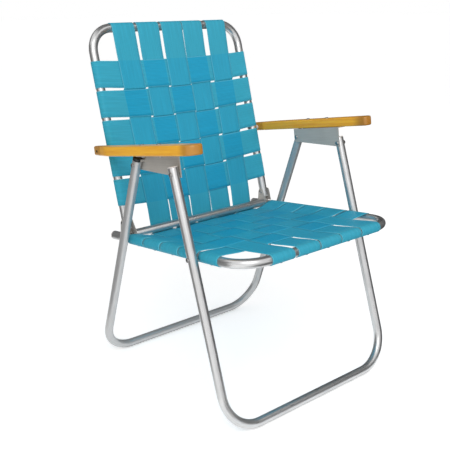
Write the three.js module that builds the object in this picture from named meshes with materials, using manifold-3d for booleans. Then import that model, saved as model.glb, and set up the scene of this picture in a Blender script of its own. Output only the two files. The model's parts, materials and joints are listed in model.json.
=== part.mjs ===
// Folding webbed lawn chair: four bent tube frames, two wooden arms and woven webbing.
// Millimetres and degrees. +X is the sitter's left, +Y the rear and +Z up.
// The front leg, seat, back and arm form a parallelogram that folds flat.
import * as THREE from 'three';
import { mergeVertices } from 'three/addons/utils/BufferGeometryUtils.js';
import loadManifold from 'manifold-3d';

const manifold = await loadManifold();
manifold.setup();
const { Manifold, Mesh: SolidMesh } = manifold;

// Fits
const FIT = 0.3;
const PIN_PLAY = 0.3;
const SEAT_PLAY = 0.6;

// Tubes, measured to the flats of their facets
const TUBE_RADIUS = 11;
const TUBE_WALL = 1.2;
const TUBE_SIDES = 12;
const BEND_STEPS = 6;

// Leg frames
const LEG_SPACING = 543;
const FOOT_SPREAD = 536;
const LEG_BEND = 90;
const FRONT_LEG_LEAN = 18;
const FRONT_LEG_TAIL = 14.5;
const REAR_LEG_TAIL = 13;
const REAR_PIVOT_BACK = 149.46;
const REAR_PIVOT_RISE = 19.4;

// Parallelogram of the fold
const PIVOT_SPACING = 190;
const LEG_PIVOTS_UP = 500;
const LINK_LENGTH = 313.7;
const LINK_RISE = 0.9;

// Back frame
const BACK_RECLINE = 15.1;
const BACK_TOP = 302;
const BACK_TAIL = 12;
const BACK_BEND = 60;

// Seat frame
const SEAT_TILT = 6.1;
const SEAT_FRONT = 149;
const SEAT_TAIL = 54.6;
const SEAT_BEND = 70;
const CROSSBAR_AHEAD = 11.4;
const CROSSBAR_RISE = 8.5;

// Arms
const ARM_TILT = 8.9;
const ARM_RISE = 42.6;
const ARM_FRONT = 99;
const ARM_TAIL = 26;
const ARM_WIDTH = 37.5;
const ARM_THICKNESS = 23.4;
const ARM_ROUND = 4;
const ARM_INSET = 1.2;
const ARM_NOSE = 26;
const ARM_CORNER = 9;
const ARM_TAPER_LENGTH = 90;
const ARM_TAPER_WIDTH = 22;
const ARM_SCREW_SHARES = [0.3, 0.76];

// Sheet metal
const PLATE = 2;
const BRACKET_MARGIN = 7;
const BRACKET_FRONT_DROP = 9;
const BRACKET_REAR_DROP = 12;
const FLANGE_WIDTH = 27;
const LIP_WIDTH = 14;
const LIP_LENGTH = 6;
const EAR_RADIUS = 9;
const EAR_FOOT = 14;

// Pins, rivets and screws
const PIN_RADIUS = 3;
const SCREW_RADIUS = 2.5;
const HEAD_RADIUS = 5.5;
const HEAD_HEIGHT = 2.8;
const PIN_SIDES = 10;
const SPACER_RADIUS = 6;
const SPACER_LENGTH = 7.5;
const ARM_SCREW_DEPTH = 13;

// Plastic plugs
const PLUG_DEPTH = 7;
const PLUG_FLANGE = 2.5;
const CAP_HEIGHT = 8;
const CAP_ROUND = 3;

// Webbing
const STRAP_WIDTH = 67;
const STRAP_GAP = 7.5;
const STRAP_THICKNESS = 1;
const COLUMN_EASE = 0.7;
const ROW_EASE = 1.6;
const ROW_EASE_SHARE = 0.42;
const SEAT_COLUMN_GAPS = [12, 4, 3, 4];
const SEAT_COLUMN_SHIFT = 1.8;
const BACK_COLUMN_GAPS = [9, 9, 2, 16];
const BACK_COLUMN_SHIFT = 5;
const BACK_TAIL_GAPS = [3, 2, 2, 9];
const BACK_TAIL_SHIFT = 9;
const STRAP_ROWS = 5;
const SEAT_ROWS_BEFORE_PIVOT = 1;
const SEAT_ROW_MARGIN = 8;
const BACK_ROWS_BEFORE_PIVOT = 3;
const BACK_ROW_SAG = 8;
const BACK_ROW_SPREAD = 0.055;
const BACK_STRAP_TAIL = 16;
const ARC_STEP = 30;

// Places across the chair, from the legs inward
const rad = THREE.MathUtils.degToRad;
const vertexRadius = TUBE_RADIUS / Math.cos(Math.PI / TUBE_SIDES);
const strapWrap = vertexRadius + FIT + STRAP_THICKNESS / 2;
const strapOuter = strapWrap + STRAP_THICKNESS / 2;
const strapPitch = STRAP_WIDTH + STRAP_GAP;
const legX = LEG_SPACING / 2;
const bracketOuter = legX - vertexRadius - FIT;
const bracketInner = bracketOuter - PLATE;
const armInner = bracketInner + ARM_INSET;
const seatX = bracketInner - SEAT_PLAY - strapOuter;
const backX = armInner - FIT - SPACER_LENGTH - FIT - strapOuter;
const earInner = backX - vertexRadius - FIT;
const earOuter = backX + vertexRadius + FIT;

// Places in the side view, as (y, z) before the chair is centred
const leaning = (angle) => new THREE.Vector2(Math.sin(rad(angle)), Math.cos(rad(angle)));
const pivotLean = (FRONT_LEG_LEAN + BACK_RECLINE) / 2;
const frontFoot = new THREE.Vector2(0, TUBE_RADIUS);
const rearFoot = new THREE.Vector2(FOOT_SPREAD, TUBE_RADIUS);
const legMiddle = frontFoot.clone().addScaledVector(leaning(FRONT_LEG_LEAN), LEG_PIVOTS_UP);
const legPivot = legMiddle.clone().addScaledVector(leaning(pivotLean), PIVOT_SPACING / 2);
const seatPivot = legMiddle.clone().addScaledVector(leaning(pivotLean), -PIVOT_SPACING / 2);
const link = leaning(90 - LINK_RISE).multiplyScalar(LINK_LENGTH);
const armPivot = legPivot.clone().add(link);
const hingePivot = seatPivot.clone().add(link);
const backMiddle = armPivot.clone().add(hingePivot).multiplyScalar(0.5);
const backTop = backMiddle.clone().addScaledVector(leaning(BACK_RECLINE), PIVOT_SPACING / 2 + BACK_TOP);
const backLength = BACK_TOP + PIVOT_SPACING + BACK_TAIL;
const frontLegLength = LEG_PIVOTS_UP + PIVOT_SPACING / 2 + FRONT_LEG_TAIL;
const rearPivot = legPivot.clone()
  .addScaledVector(leaning(90 + ARM_TILT), REAR_PIVOT_BACK)
  .addScaledVector(leaning(ARM_TILT), REAR_PIVOT_RISE);
const rearLegLine = rearPivot.clone().sub(rearFoot);
const rearLegLength = rearLegLine.length() + REAR_LEG_TAIL;
const rearLegLean = THREE.MathUtils.radToDeg(Math.atan2(-rearLegLine.x, rearLegLine.y));
const seatRail = seatPivot.clone().addScaledVector(leaning(90 + SEAT_TILT), -SEAT_FRONT);

// Materials
function finish(color, roughness, metalness) {
  return new THREE.MeshStandardMaterial({ color, roughness, metalness });
}

const aluminium = finish(0xb9bdc1, 0.32, 1);
const sheetMetal = finish(0xa4a7a8, 0.42, 1);
const steel = finish(0x8f9396, 0.35, 1);
const wood = finish(0xd9982f, 0.38, 0);
const webbing = finish(0x2f9dc4, 0.55, 0);
const blackPlastic = finish(0x17181a, 0.5, 0);
const palePlastic = finish(0xe6e0e0, 0.5, 0);

// A frame of the side view: local y runs along a piece, local z stands off its face.
function sideGroup(origin, angle) {
  const group = new THREE.Group();
  group.position.set(0, origin.x, origin.y);
  group.rotation.x = rad(angle);
  group.updateMatrixWorld();
  return group;
}

// A side-view point in a group's own (along, off) numbers.
function inGroup(group, point) {
  const local = group.worldToLocal(new THREE.Vector3(0, point.x, point.y));
  return new THREE.Vector2(local.y, local.z);
}

const frontLegs = sideGroup(frontFoot, 90 - FRONT_LEG_LEAN);
const rearLegs = sideGroup(rearFoot, 90 + rearLegLean);
const seat = sideGroup(seatRail, -SEAT_TILT);
const back = sideGroup(backTop, -90 - BACK_RECLINE);
const arms = sideGroup(legPivot, -ARM_TILT);

// Places along the seat from its front rail, and along the arms from the front leg's pivot
const seatHinge = inGroup(seat, hingePivot);
const seatLength = seatHinge.x + SEAT_TAIL;
const seatCrossbar = new THREE.Vector2(seatHinge.x - CROSSBAR_AHEAD, CROSSBAR_RISE);
const armEnd = inGroup(arms, armPivot);
const armRear = armEnd.x + ARM_TAIL;
const rearLegEnd = inGroup(arms, rearPivot);
const armScrewPlaces = ARM_SCREW_SHARES.map((share) => share * rearLegEnd.x);

// Solids for cutting and joining
function toSolid(geometry) {
  const bare = geometry.clone();
  bare.deleteAttribute('normal');
  bare.deleteAttribute('uv');
  const welded = mergeVertices(bare);
  return new Manifold(new SolidMesh({
    numProp: 3,
    vertProperties: welded.attributes.position.array,
    triVerts: new Uint32Array(welded.index.array),
  }));
}

function toGeometry(solid) {
  const data = solid.getMesh();
  const geometry = new THREE.BufferGeometry();
  geometry.setAttribute('position', new THREE.BufferAttribute(data.vertProperties, 3));
  geometry.setIndex(new THREE.BufferAttribute(data.triVerts, 1));
  geometry.computeVertexNormals();
  return geometry;
}

function cut(geometry, tools) {
  const solid = tools.reduce((rest, tool) => rest.subtract(toSolid(tool)), toSolid(geometry));
  return toGeometry(solid);
}

function join(geometries) {
  const [first, ...others] = geometries.map(toSolid);
  return toGeometry(others.reduce((whole, other) => whole.add(other), first));
}

// A hole right across the chair at (along, off), clear of a pin of the given radius.
function crossHole(place, radius) {
  const drill = (radius + PIN_PLAY) / Math.cos(Math.PI / PIN_SIDES);
  const length = 2 * (legX + LEG_SPACING);
  const hole = new THREE.CylinderGeometry(drill, drill, length, PIN_SIDES);
  return hole.rotateZ(Math.PI / 2).translate(0, place.x, place.y);
}

function addMesh(group, name, geometry, material) {
  const mesh = new THREE.Mesh(geometry, material);
  mesh.name = name;
  group.add(mesh);
  return mesh;
}

const SIDES = [['left', 1], ['right', -1]];

// Tubes
function facets(radius, flatAngle) {
  const step = 360 / TUBE_SIDES;
  const corner = radius / Math.cos(Math.PI / TUBE_SIDES);
  return Array.from({ length: TUBE_SIDES }, (_, k) => {
    const angle = rad(flatAngle + (k + 0.5) * step);
    return new THREE.Vector2(corner * Math.cos(angle), corner * Math.sin(angle));
  });
}

function tubeSection(flatAngle) {
  const section = new THREE.Shape(facets(TUBE_RADIUS, flatAngle));
  section.holes.push(new THREE.Path(facets(TUBE_RADIUS - TUBE_WALL, flatAngle)));
  return section;
}

// A flat U in x and y whose bar lies on y = 0, with rings only at its ends and round its bends.
class UPath extends THREE.Curve {
  constructor(halfWidth, length, bend) {
    super();
    this.points = [new THREE.Vector3(-halfWidth, length, 0)];
    this.tangents = [new THREE.Vector3(0, -1, 0)];
    for (const [centreX, start] of [[bend - halfWidth, 180], [halfWidth - bend, 270]]) {
      for (let k = 0; k <= BEND_STEPS; k += 1) {
        const angle = rad(start + (90 * k) / BEND_STEPS);
        const out = new THREE.Vector3(Math.cos(angle), Math.sin(angle), 0);
        this.points.push(new THREE.Vector3(centreX, bend, 0).addScaledVector(out, bend));
        this.tangents.push(new THREE.Vector3(-out.y, out.x, 0));
      }
    }
    this.points.push(new THREE.Vector3(halfWidth, length, 0));
    this.tangents.push(new THREE.Vector3(0, 1, 0));
  }

  getSpacedPoints() {
    return this.points;
  }

  computeFrenetFrames() {
    const off = new THREE.Vector3(0, 0, 1);
    const normals = this.tangents.map((tangent) => new THREE.Vector3().crossVectors(off, tangent));
    return { tangents: this.tangents, normals, binormals: this.tangents.map(() => off) };
  }
}

function uFrame(halfWidth, length, bend, flatAngle) {
  const extrudePath = new UPath(halfWidth, length, bend);
  const steps = extrudePath.points.length - 1;
  return new THREE.ExtrudeGeometry(tubeSection(flatAngle), { steps, extrudePath });
}

// Turned pieces: a profile of [radius, place] pairs about an axis along X, from the axis outward.
function turned(profile, side) {
  const points = profile.map(([radius, place]) => new THREE.Vector2(radius, place));
  const geometry = new THREE.LatheGeometry(points, PIN_SIDES);
  return geometry.rotateZ(-side * Math.PI / 2);
}

// A pin with a head at both ends. Its shank spans inner to outer, measured from the chair's middle.
function rivet(side, inner, outer) {
  return turned([
    [0, inner - HEAD_HEIGHT],
    [HEAD_RADIUS - 1, inner - HEAD_HEIGHT],
    [HEAD_RADIUS, inner - 1],
    [HEAD_RADIUS, inner],
    [PIN_RADIUS, inner],
    [PIN_RADIUS, outer],
    [HEAD_RADIUS, outer],
    [HEAD_RADIUS, outer + 1],
    [HEAD_RADIUS - 1, outer + HEAD_HEIGHT],
    [0, outer + HEAD_HEIGHT],
  ], side);
}

// A plug for a tube that ends at y = 0: a stub inside, then a flange or a taller cap outside.
function plug(height, round) {
  const stub = TUBE_RADIUS - TUBE_WALL - FIT;
  const points = [
    [0, -PLUG_DEPTH],
    [stub, -PLUG_DEPTH],
    [stub, FIT],
    [vertexRadius, FIT],
    [vertexRadius, FIT + height - round],
    [vertexRadius - round, FIT + height],
    [0, FIT + height],
  ].map(([radius, place]) => new THREE.Vector2(radius, place));
  return new THREE.LatheGeometry(points, TUBE_SIDES);
}

// A flat piece drawn as (along, off) and given its thickness along X, between inner and outer.
function slab(outline, side, inner, outer) {
  const depth = outer - inner;
  const geometry = new THREE.ExtrudeGeometry(outline, { depth, bevelEnabled: false, curveSegments: 6 });
  const axes = [new THREE.Vector3(0, 1, 0), new THREE.Vector3(0, 0, 1), new THREE.Vector3(1, 0, 0)];
  geometry.applyMatrix4(new THREE.Matrix4().makeBasis(...axes));
  return geometry.translate(Math.min(side * inner, side * outer), 0, 0);
}

// Webbing
function arcPoints(centre, radius, from, to) {
  const steps = Math.ceil(Math.abs(to - from) / ARC_STEP);
  const outer = radius / Math.cos(rad(to - from) / steps / 2);
  return Array.from({ length: steps + 1 }, (_, k) => {
    const angle = rad(from + ((to - from) * k) / steps);
    return new THREE.Vector2(centre.x + outer * Math.cos(angle), centre.y + outer * Math.sin(angle));
  });
}

// The closed outline of a strap seen on edge, half its thickness each way from the path.
function strapOutline(path) {
  const edge = (direction) => path.map((point, k) => {
    const before = path[Math.max(k - 1, 0)];
    const after = path[Math.min(k + 1, path.length - 1)];
    const along = after.clone().sub(before).normalize();
    const half = (direction * STRAP_THICKNESS) / 2;
    return new THREE.Vector2(point.x - along.y * half, point.y + along.x * half);
  });
  return new THREE.Shape([...edge(1), ...edge(-1).reverse()]);
}

// The level stretch of a strap over or under one that takes up the given half width.
function crossing(centre, height, half) {
  return [new THREE.Vector2(centre - half, height), new THREE.Vector2(centre + half, height)];
}

const overUnder = (column, row) => ((column + row) % 2 === 0 ? 1 : -1) * (STRAP_THICKNESS + FIT) / 2;

// The straps along a panel may draw together. Those across may sag and spread a little towards the middle.
const columnAt = (panel, column, along) => panel.columns[column] + panel.drifts[column] * along;
const towardsMiddle = (panel, x) => 1 - (x / panel.tubeX) ** 2;
const sagAt = (panel, x) => panel.sag * towardsMiddle(panel, x);
const spreadAt = (panel, x) => 1 + panel.spread * towardsMiddle(panel, x);

// A strap along the panel: round its rail, over and under the rows, then on to its tail.
function columnStrap(panel, column) {
  const path = arcPoints(new THREE.Vector2(), strapWrap, 290, 90);
  panel.rows.forEach((place, row) => {
    const x = columnAt(panel, column, place);
    const along = place + sagAt(panel, x);
    const height = panel.height(along) + overUnder(column, row);
    const width = panel.rowWidth * spreadAt(panel, x);
    const ease = Math.min(ROW_EASE, ROW_EASE_SHARE * (panel.pitch - width));
    path.push(...crossing(along, height, width / 2 + ease));
  });
  path.push(...panel.tail);
  const outline = strapOutline(path.map((point) => new THREE.Vector2(point.x, point.y * panel.face)));
  const geometry = slab(outline, 1, -STRAP_WIDTH / 2, STRAP_WIDTH / 2);
  geometry.applyMatrix4(new THREE.Matrix4().makeShear(0, 0, panel.drifts[column], 0, 0, 0));
  return geometry.translate(panel.columns[column], 0, 0);
}

// A strap across the panel: round one side tube, over and under the columns, then round the other.
function rowStrap(panel, row) {
  const place = panel.rows[row];
  const path = arcPoints(new THREE.Vector2(-panel.tubeX, 0), strapWrap, 280, 82);
  panel.columns.forEach((_, column) => {
    const x = columnAt(panel, column, place);
    const height = panel.height(place + sagAt(panel, x)) - overUnder(column, row);
    path.push(...crossing(x, height, STRAP_WIDTH / 2 + COLUMN_EASE));
  });
  path.push(...arcPoints(new THREE.Vector2(panel.tubeX, 0), strapWrap, 98, -100));
  const outline = strapOutline(path.map((point) => new THREE.Vector2(point.x, point.y * panel.face)));
  const geometry = new THREE.ExtrudeGeometry(outline, { depth: panel.rowWidth, bevelEnabled: false });
  geometry.rotateX(Math.PI / 2).translate(0, panel.rowWidth / 2, 0);
  const points = geometry.attributes.position;
  for (let k = 0; k < points.count; k += 1) {
    const x = points.getX(k);
    points.setY(k, place + points.getY(k) * spreadAt(panel, x) + sagAt(panel, x));
  }
  return geometry;
}

// Heights run straight from the strap round the rail to the strap's tail.
function straightFall(tail) {
  return (along) => strapWrap + ((tail.y - strapWrap) * along) / tail.x;
}

const rowPlaces = (pivot, before, pitch) => Array.from(
  { length: STRAP_ROWS },
  (_, row) => pivot + (row - before + 0.5) * pitch,
);

// Centres of straps side by side with the given gaps, about a middle line shifted by the given amount.
function columnPlaces(gaps, shift) {
  const steps = gaps.map((gap) => STRAP_WIDTH + gap);
  const first = shift - steps.reduce((sum, step) => sum + step, 0) / 2;
  return [0, ...steps].map((_, k) => first + steps.slice(0, k).reduce((sum, step) => sum + step, 0));
}

// Each long strap runs under the crossbar and turns up behind it. The straps across share the length.
function seatPanel() {
  const rowsBehind = STRAP_ROWS - SEAT_ROWS_BEFORE_PIVOT;
  const pitch = (seatCrossbar.x - SEAT_FRONT - SEAT_ROW_MARGIN) / rowsBehind;
  return {
    face: 1,
    tubeX: seatX,
    pitch,
    rowWidth: pitch - STRAP_GAP,
    columns: columnPlaces(SEAT_COLUMN_GAPS, SEAT_COLUMN_SHIFT),
    drifts: SEAT_COLUMN_GAPS.concat(0).map(() => 0),
    sag: 0,
    spread: 0,
    rows: rowPlaces(SEAT_FRONT, SEAT_ROWS_BEFORE_PIVOT, pitch),
    height: straightFall(new THREE.Vector2(seatCrossbar.x, seatCrossbar.y - strapWrap)),
    tail: arcPoints(seatCrossbar, strapWrap, 264, 345),
  };
}

// Each back strap falls in line with the back of the crossbar. It ends above it, so that the back can fold.
// The straps draw together on the way down, and the straps across sag a little between the tubes.
function backPanel() {
  const crossbar = new THREE.Vector3(0, seatCrossbar.x, seatCrossbar.y);
  const local = back.worldToLocal(seat.localToWorld(crossbar));
  const behind = -local.z - strapOuter - FIT - STRAP_THICKNESS / 2;
  const height = straightFall(new THREE.Vector2(local.y, behind));
  const end = inGroup(back, hingePivot).x + BACK_STRAP_TAIL;
  const columns = columnPlaces(BACK_COLUMN_GAPS, BACK_COLUMN_SHIFT);
  const tailPlaces = columnPlaces(BACK_TAIL_GAPS, BACK_TAIL_SHIFT);
  return {
    face: -1,
    tubeX: backX,
    pitch: strapPitch,
    rowWidth: STRAP_WIDTH,
    columns,
    drifts: columns.map((place, column) => (tailPlaces[column] - place) / end),
    sag: BACK_ROW_SAG,
    spread: BACK_ROW_SPREAD,
    rows: rowPlaces(BACK_TOP, BACK_ROWS_BEFORE_PIVOT, strapPitch),
    height,
    tail: [new THREE.Vector2(end, height(end))],
  };
}

function addWebbing(group, panel, columnName, rowName) {
  panel.columns.forEach((_, column) => {
    addMesh(group, `${columnName}_${column + 1}`, columnStrap(panel, column), webbing);
  });
  panel.rows.forEach((_, row) => {
    addMesh(group, `${rowName}_${row + 1}`, rowStrap(panel, row), webbing);
  });
}

// Front legs: the frame that the rest folds against
function addFrontLegs() {
  const holes = [legPivot, seatPivot].map((pivot) => crossHole(inGroup(frontLegs, pivot), PIN_RADIUS));
  const frame = uFrame(legX, frontLegLength, LEG_BEND, FRONT_LEG_LEAN);
  addMesh(frontLegs, 'front_leg_frame', cut(frame, holes), aluminium);
  const pivot = inGroup(frontLegs, seatPivot);
  for (const [name, side] of SIDES) {
    const end = addMesh(frontLegs, `front_leg_plug_${name}`, plug(PLUG_FLANGE, 1), palePlastic);
    end.position.set(side * legX, frontLegLength, 0);
    const bolt = addMesh(frontLegs, `seat_pivot_bolt_${name}`, seatPivotBolt(side), steel);
    bolt.position.set(0, pivot.x, pivot.y);
  }
}

// The seat's pivot bolt, with a collar that keeps the seat off the leg.
function seatPivotBolt(side) {
  const inner = seatX - vertexRadius - FIT;
  const collarInner = seatX + strapOuter + FIT;
  const collarOuter = legX - vertexRadius - FIT;
  const outer = legX + vertexRadius + FIT;
  return turned([
    [0, inner - HEAD_HEIGHT],
    [HEAD_RADIUS, inner - HEAD_HEIGHT],
    [HEAD_RADIUS, inner],
    [PIN_RADIUS, inner],
    [PIN_RADIUS, collarInner],
    [HEAD_RADIUS, collarInner],
    [HEAD_RADIUS, collarOuter],
    [PIN_RADIUS, collarOuter],
    [PIN_RADIUS, outer],
    [HEAD_RADIUS, outer],
    [HEAD_RADIUS - 1, outer + HEAD_HEIGHT],
    [0, outer + HEAD_HEIGHT],
  ], side);
}

// Rear legs
function addRearLegs() {
  const hole = crossHole(inGroup(rearLegs, rearPivot), PIN_RADIUS);
  const frame = uFrame(legX, rearLegLength, LEG_BEND, -rearLegLean);
  addMesh(rearLegs, 'rear_leg_frame', cut(frame, [hole]), aluminium);
  for (const [name, side] of SIDES) {
    const end = addMesh(rearLegs, `rear_leg_cap_${name}`, plug(CAP_HEIGHT, CAP_ROUND), blackPlastic);
    end.position.set(side * legX, rearLegLength, 0);
  }
}

// Seat
function addSeat() {
  const frame = uFrame(seatX, seatLength, SEAT_BEND, 0);
  const holes = [crossHole(inGroup(seat, seatPivot), PIN_RADIUS)];
  for (const side of [1, -1]) {
    holes.push(hingeRivetHole().translate(side * seatX, seatHinge.x, vertexRadius));
  }
  addMesh(seat, 'seat_frame', cut(frame, holes), aluminium);
  addCrossbar();
  for (const [name, side] of SIDES) {
    const end = addMesh(seat, `seat_plug_${name}`, plug(PLUG_FLANGE + 2, 2), palePlastic);
    end.position.set(side * seatX, seatLength, 0);
    addMesh(seat, `hinge_clip_${name}`, hingeClip(side), sheetMetal);
    const shank = [earInner - PLATE - FIT, earOuter + PLATE + FIT];
    const pin = addMesh(seat, `back_hinge_pin_${name}`, rivet(side, ...shank), steel);
    pin.position.set(0, seatHinge.x, seatHinge.y);
    const fixing = addMesh(seat, `hinge_rivet_${name}`, hingeRivet(), steel);
    fixing.position.set(side * seatX, seatHinge.x, vertexRadius + FIT);
  }
  addWebbing(seat, seatPanel(), 'seat_strap_long', 'seat_strap_cross');
}

// A straight tube with closed ends, each bolted to the inner ear of a hinge clip.
function addCrossbar() {
  const half = earInner - PLATE - FIT;
  const outside = new THREE.ExtrudeGeometry(new THREE.Shape(facets(TUBE_RADIUS, 0)), {
    depth: 2 * half,
    bevelEnabled: false,
  });
  const inside = new THREE.ExtrudeGeometry(new THREE.Shape(facets(TUBE_RADIUS - TUBE_WALL, 0)), {
    depth: 2 * (half - PLATE),
    bevelEnabled: false,
  });
  const alongX = (geometry, start) => geometry.translate(0, 0, start).rotateY(Math.PI / 2);
  const tube = alongX(outside, -half);
  const tools = [alongX(inside, PLATE - half), crossHole(new THREE.Vector2(), PIN_RADIUS)];
  const crossbar = addMesh(seat, 'seat_crossbar', cut(tube, tools), aluminium);
  crossbar.position.set(0, seatCrossbar.x, seatCrossbar.y);
  for (const [name, side] of SIDES) {
    const bolt = addMesh(seat, `crossbar_bolt_${name}`, crossbarBolt(side), steel);
    bolt.position.copy(crossbar.position);
  }
}

function crossbarBolt(side) {
  const ear = earInner + FIT;
  return turned([
    [0, ear - 6 * PLATE],
    [PIN_RADIUS, ear - 6 * PLATE],
    [PIN_RADIUS, ear],
    [HEAD_RADIUS, ear],
    [HEAD_RADIUS - 1, ear + HEAD_HEIGHT],
    [0, ear + HEAD_HEIGHT],
  ], side);
}

// Two ears round the back tube on a base that sits on the seat tube. The inner ear holds the crossbar.
function hingeClip(side) {
  const base = vertexRadius + FIT;
  const hinge = seatHinge;
  const crossbar = seatCrossbar;
  const outerEar = new THREE.Shape();
  outerEar.moveTo(hinge.x - EAR_FOOT, base);
  outerEar.lineTo(hinge.x + EAR_FOOT, base);
  outerEar.absarc(hinge.x, hinge.y, EAR_RADIUS, 0, Math.PI);
  const innerEar = new THREE.Shape();
  innerEar.moveTo(crossbar.x - EAR_RADIUS, crossbar.y - EAR_RADIUS);
  innerEar.lineTo(hinge.x + EAR_FOOT, crossbar.y - EAR_RADIUS);
  innerEar.lineTo(hinge.x + EAR_FOOT, base);
  innerEar.absarc(hinge.x, hinge.y, EAR_RADIUS, 0, Math.PI);
  innerEar.lineTo(crossbar.x - EAR_RADIUS, crossbar.y + EAR_RADIUS);
  const width = earOuter - earInner + 2 * PLATE;
  const baseFront = crossbar.x + HEAD_RADIUS + FIT;
  const baseRear = hinge.x + EAR_FOOT;
  const plate = new THREE.BoxGeometry(width, baseRear - baseFront, PLATE);
  plate.translate(side * backX, (baseFront + baseRear) / 2, base + PLATE / 2);
  const clip = join([
    slab(outerEar, side, earOuter, earOuter + PLATE),
    slab(innerEar, side, earInner - PLATE, earInner),
    plate,
  ]);
  return cut(clip, [
    crossHole(hinge, PIN_RADIUS),
    crossHole(crossbar, PIN_RADIUS),
    hingeRivetHole().translate(side * seatX, hinge.x, base),
  ]);
}

// The rivet down through the clip's base into the seat tube. Its place 0 is the base's underside.
function hingeRivet() {
  const points = [
    [0, -TUBE_WALL - FIT - 1],
    [SCREW_RADIUS, -TUBE_WALL - FIT - 1],
    [SCREW_RADIUS, PLATE + FIT],
    [HEAD_RADIUS - 1, PLATE + FIT],
    [HEAD_RADIUS - 2, PLATE + FIT + 2],
    [0, PLATE + FIT + 2],
  ].map(([radius, place]) => new THREE.Vector2(radius, place));
  return new THREE.LatheGeometry(points, PIN_SIDES).rotateX(Math.PI / 2);
}

function hingeRivetHole() {
  const drill = (SCREW_RADIUS + PIN_PLAY) / Math.cos(Math.PI / PIN_SIDES);
  return new THREE.CylinderGeometry(drill, drill, TUBE_RADIUS, PIN_SIDES).rotateX(Math.PI / 2);
}

// Back
function addBack() {
  const holes = [armPivot, hingePivot].map((pivot) => crossHole(inGroup(back, pivot), PIN_RADIUS));
  addMesh(back, 'back_frame', cut(uFrame(backX, backLength, BACK_BEND, 0), holes), aluminium);
  for (const [name, side] of SIDES) {
    const end = addMesh(back, `back_plug_${name}`, plug(PLUG_FLANGE, 1), palePlastic);
    end.position.set(side * backX, backLength, 0);
  }
  addWebbing(back, backPanel(), 'back_strap_vertical', 'back_strap_row');
}

// Arms and what is fixed to them
function addArms() {
  for (const [name, side] of SIDES) {
    addMesh(arms, `armrest_${name}`, armrest(side), wood);
    addMesh(arms, `arm_bracket_${name}`, armBracket(side, rearLegEnd), sheetMetal);
    ['front', 'rear'].forEach((place, k) => {
      const screw = addMesh(arms, `arm_screw_${place}_${name}`, armScrew(), steel);
      screw.position.set(side * armScrewX(), armScrewPlaces[k], ARM_RISE);
    });
    const shank = [bracketInner - FIT, legX + vertexRadius + FIT];
    addMesh(arms, `front_leg_rivet_${name}`, rivet(side, ...shank), steel);
    const rearRivet = addMesh(arms, `rear_leg_rivet_${name}`, rivet(side, ...shank), steel);
    rearRivet.position.set(0, rearLegEnd.x, rearLegEnd.y);
    const screw = addMesh(arms, `back_pivot_screw_${name}`, backPivotScrew(side), steel);
    screw.position.set(0, armEnd.x, armEnd.y);
    const spacer = addMesh(arms, `back_pivot_spacer_${name}`, backPivotSpacer(side), palePlastic);
    spacer.position.copy(screw.position);
  }
}

const armScrewX = () => bracketInner + FLANGE_WIDTH / 2 + PLATE;

// The board: a round nose at the front, a taper on the outer side at the rear.
function armrest(side) {
  const outer = ARM_WIDTH;
  const board = new THREE.Shape();
  const across = (place) => side * (armInner + place);
  board.moveTo(across(0), ARM_CORNER - ARM_FRONT);
  board.quadraticCurveTo(across(0), -ARM_FRONT, across(ARM_CORNER), -ARM_FRONT);
  board.lineTo(across(outer - ARM_NOSE), -ARM_FRONT);
  board.quadraticCurveTo(across(outer), -ARM_FRONT, across(outer), ARM_NOSE - ARM_FRONT);
  board.lineTo(across(outer), armRear - ARM_TAPER_LENGTH);
  board.lineTo(across(outer - ARM_TAPER_WIDTH), armRear);
  board.lineTo(across(ARM_CORNER), armRear);
  board.quadraticCurveTo(across(0), armRear, across(0), armRear - ARM_CORNER);
  const geometry = new THREE.ExtrudeGeometry(board, {
    depth: ARM_THICKNESS - 2 * ARM_ROUND,
    bevelThickness: ARM_ROUND,
    bevelSize: ARM_ROUND,
    bevelOffset: -ARM_ROUND,
    bevelSegments: 3,
    curveSegments: 5,
  });
  geometry.translate(0, 0, ARM_RISE + ARM_ROUND);
  const drill = (SCREW_RADIUS + PIN_PLAY) / Math.cos(Math.PI / PIN_SIDES);
  const blindLength = 2 * (ARM_SCREW_DEPTH + 1);
  const blind = new THREE.CylinderGeometry(drill, drill, blindLength, PIN_SIDES).rotateZ(Math.PI / 2);
  const holes = armScrewPlaces.map((place) => {
    const hole = new THREE.CylinderGeometry(drill, drill, 3 * ARM_THICKNESS, PIN_SIDES).rotateX(Math.PI / 2);
    return hole.translate(side * armScrewX(), place, ARM_RISE);
  });
  return cut(geometry, [...holes, blind.translate(side * armInner, armEnd.x, armEnd.y)]);
}

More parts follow.
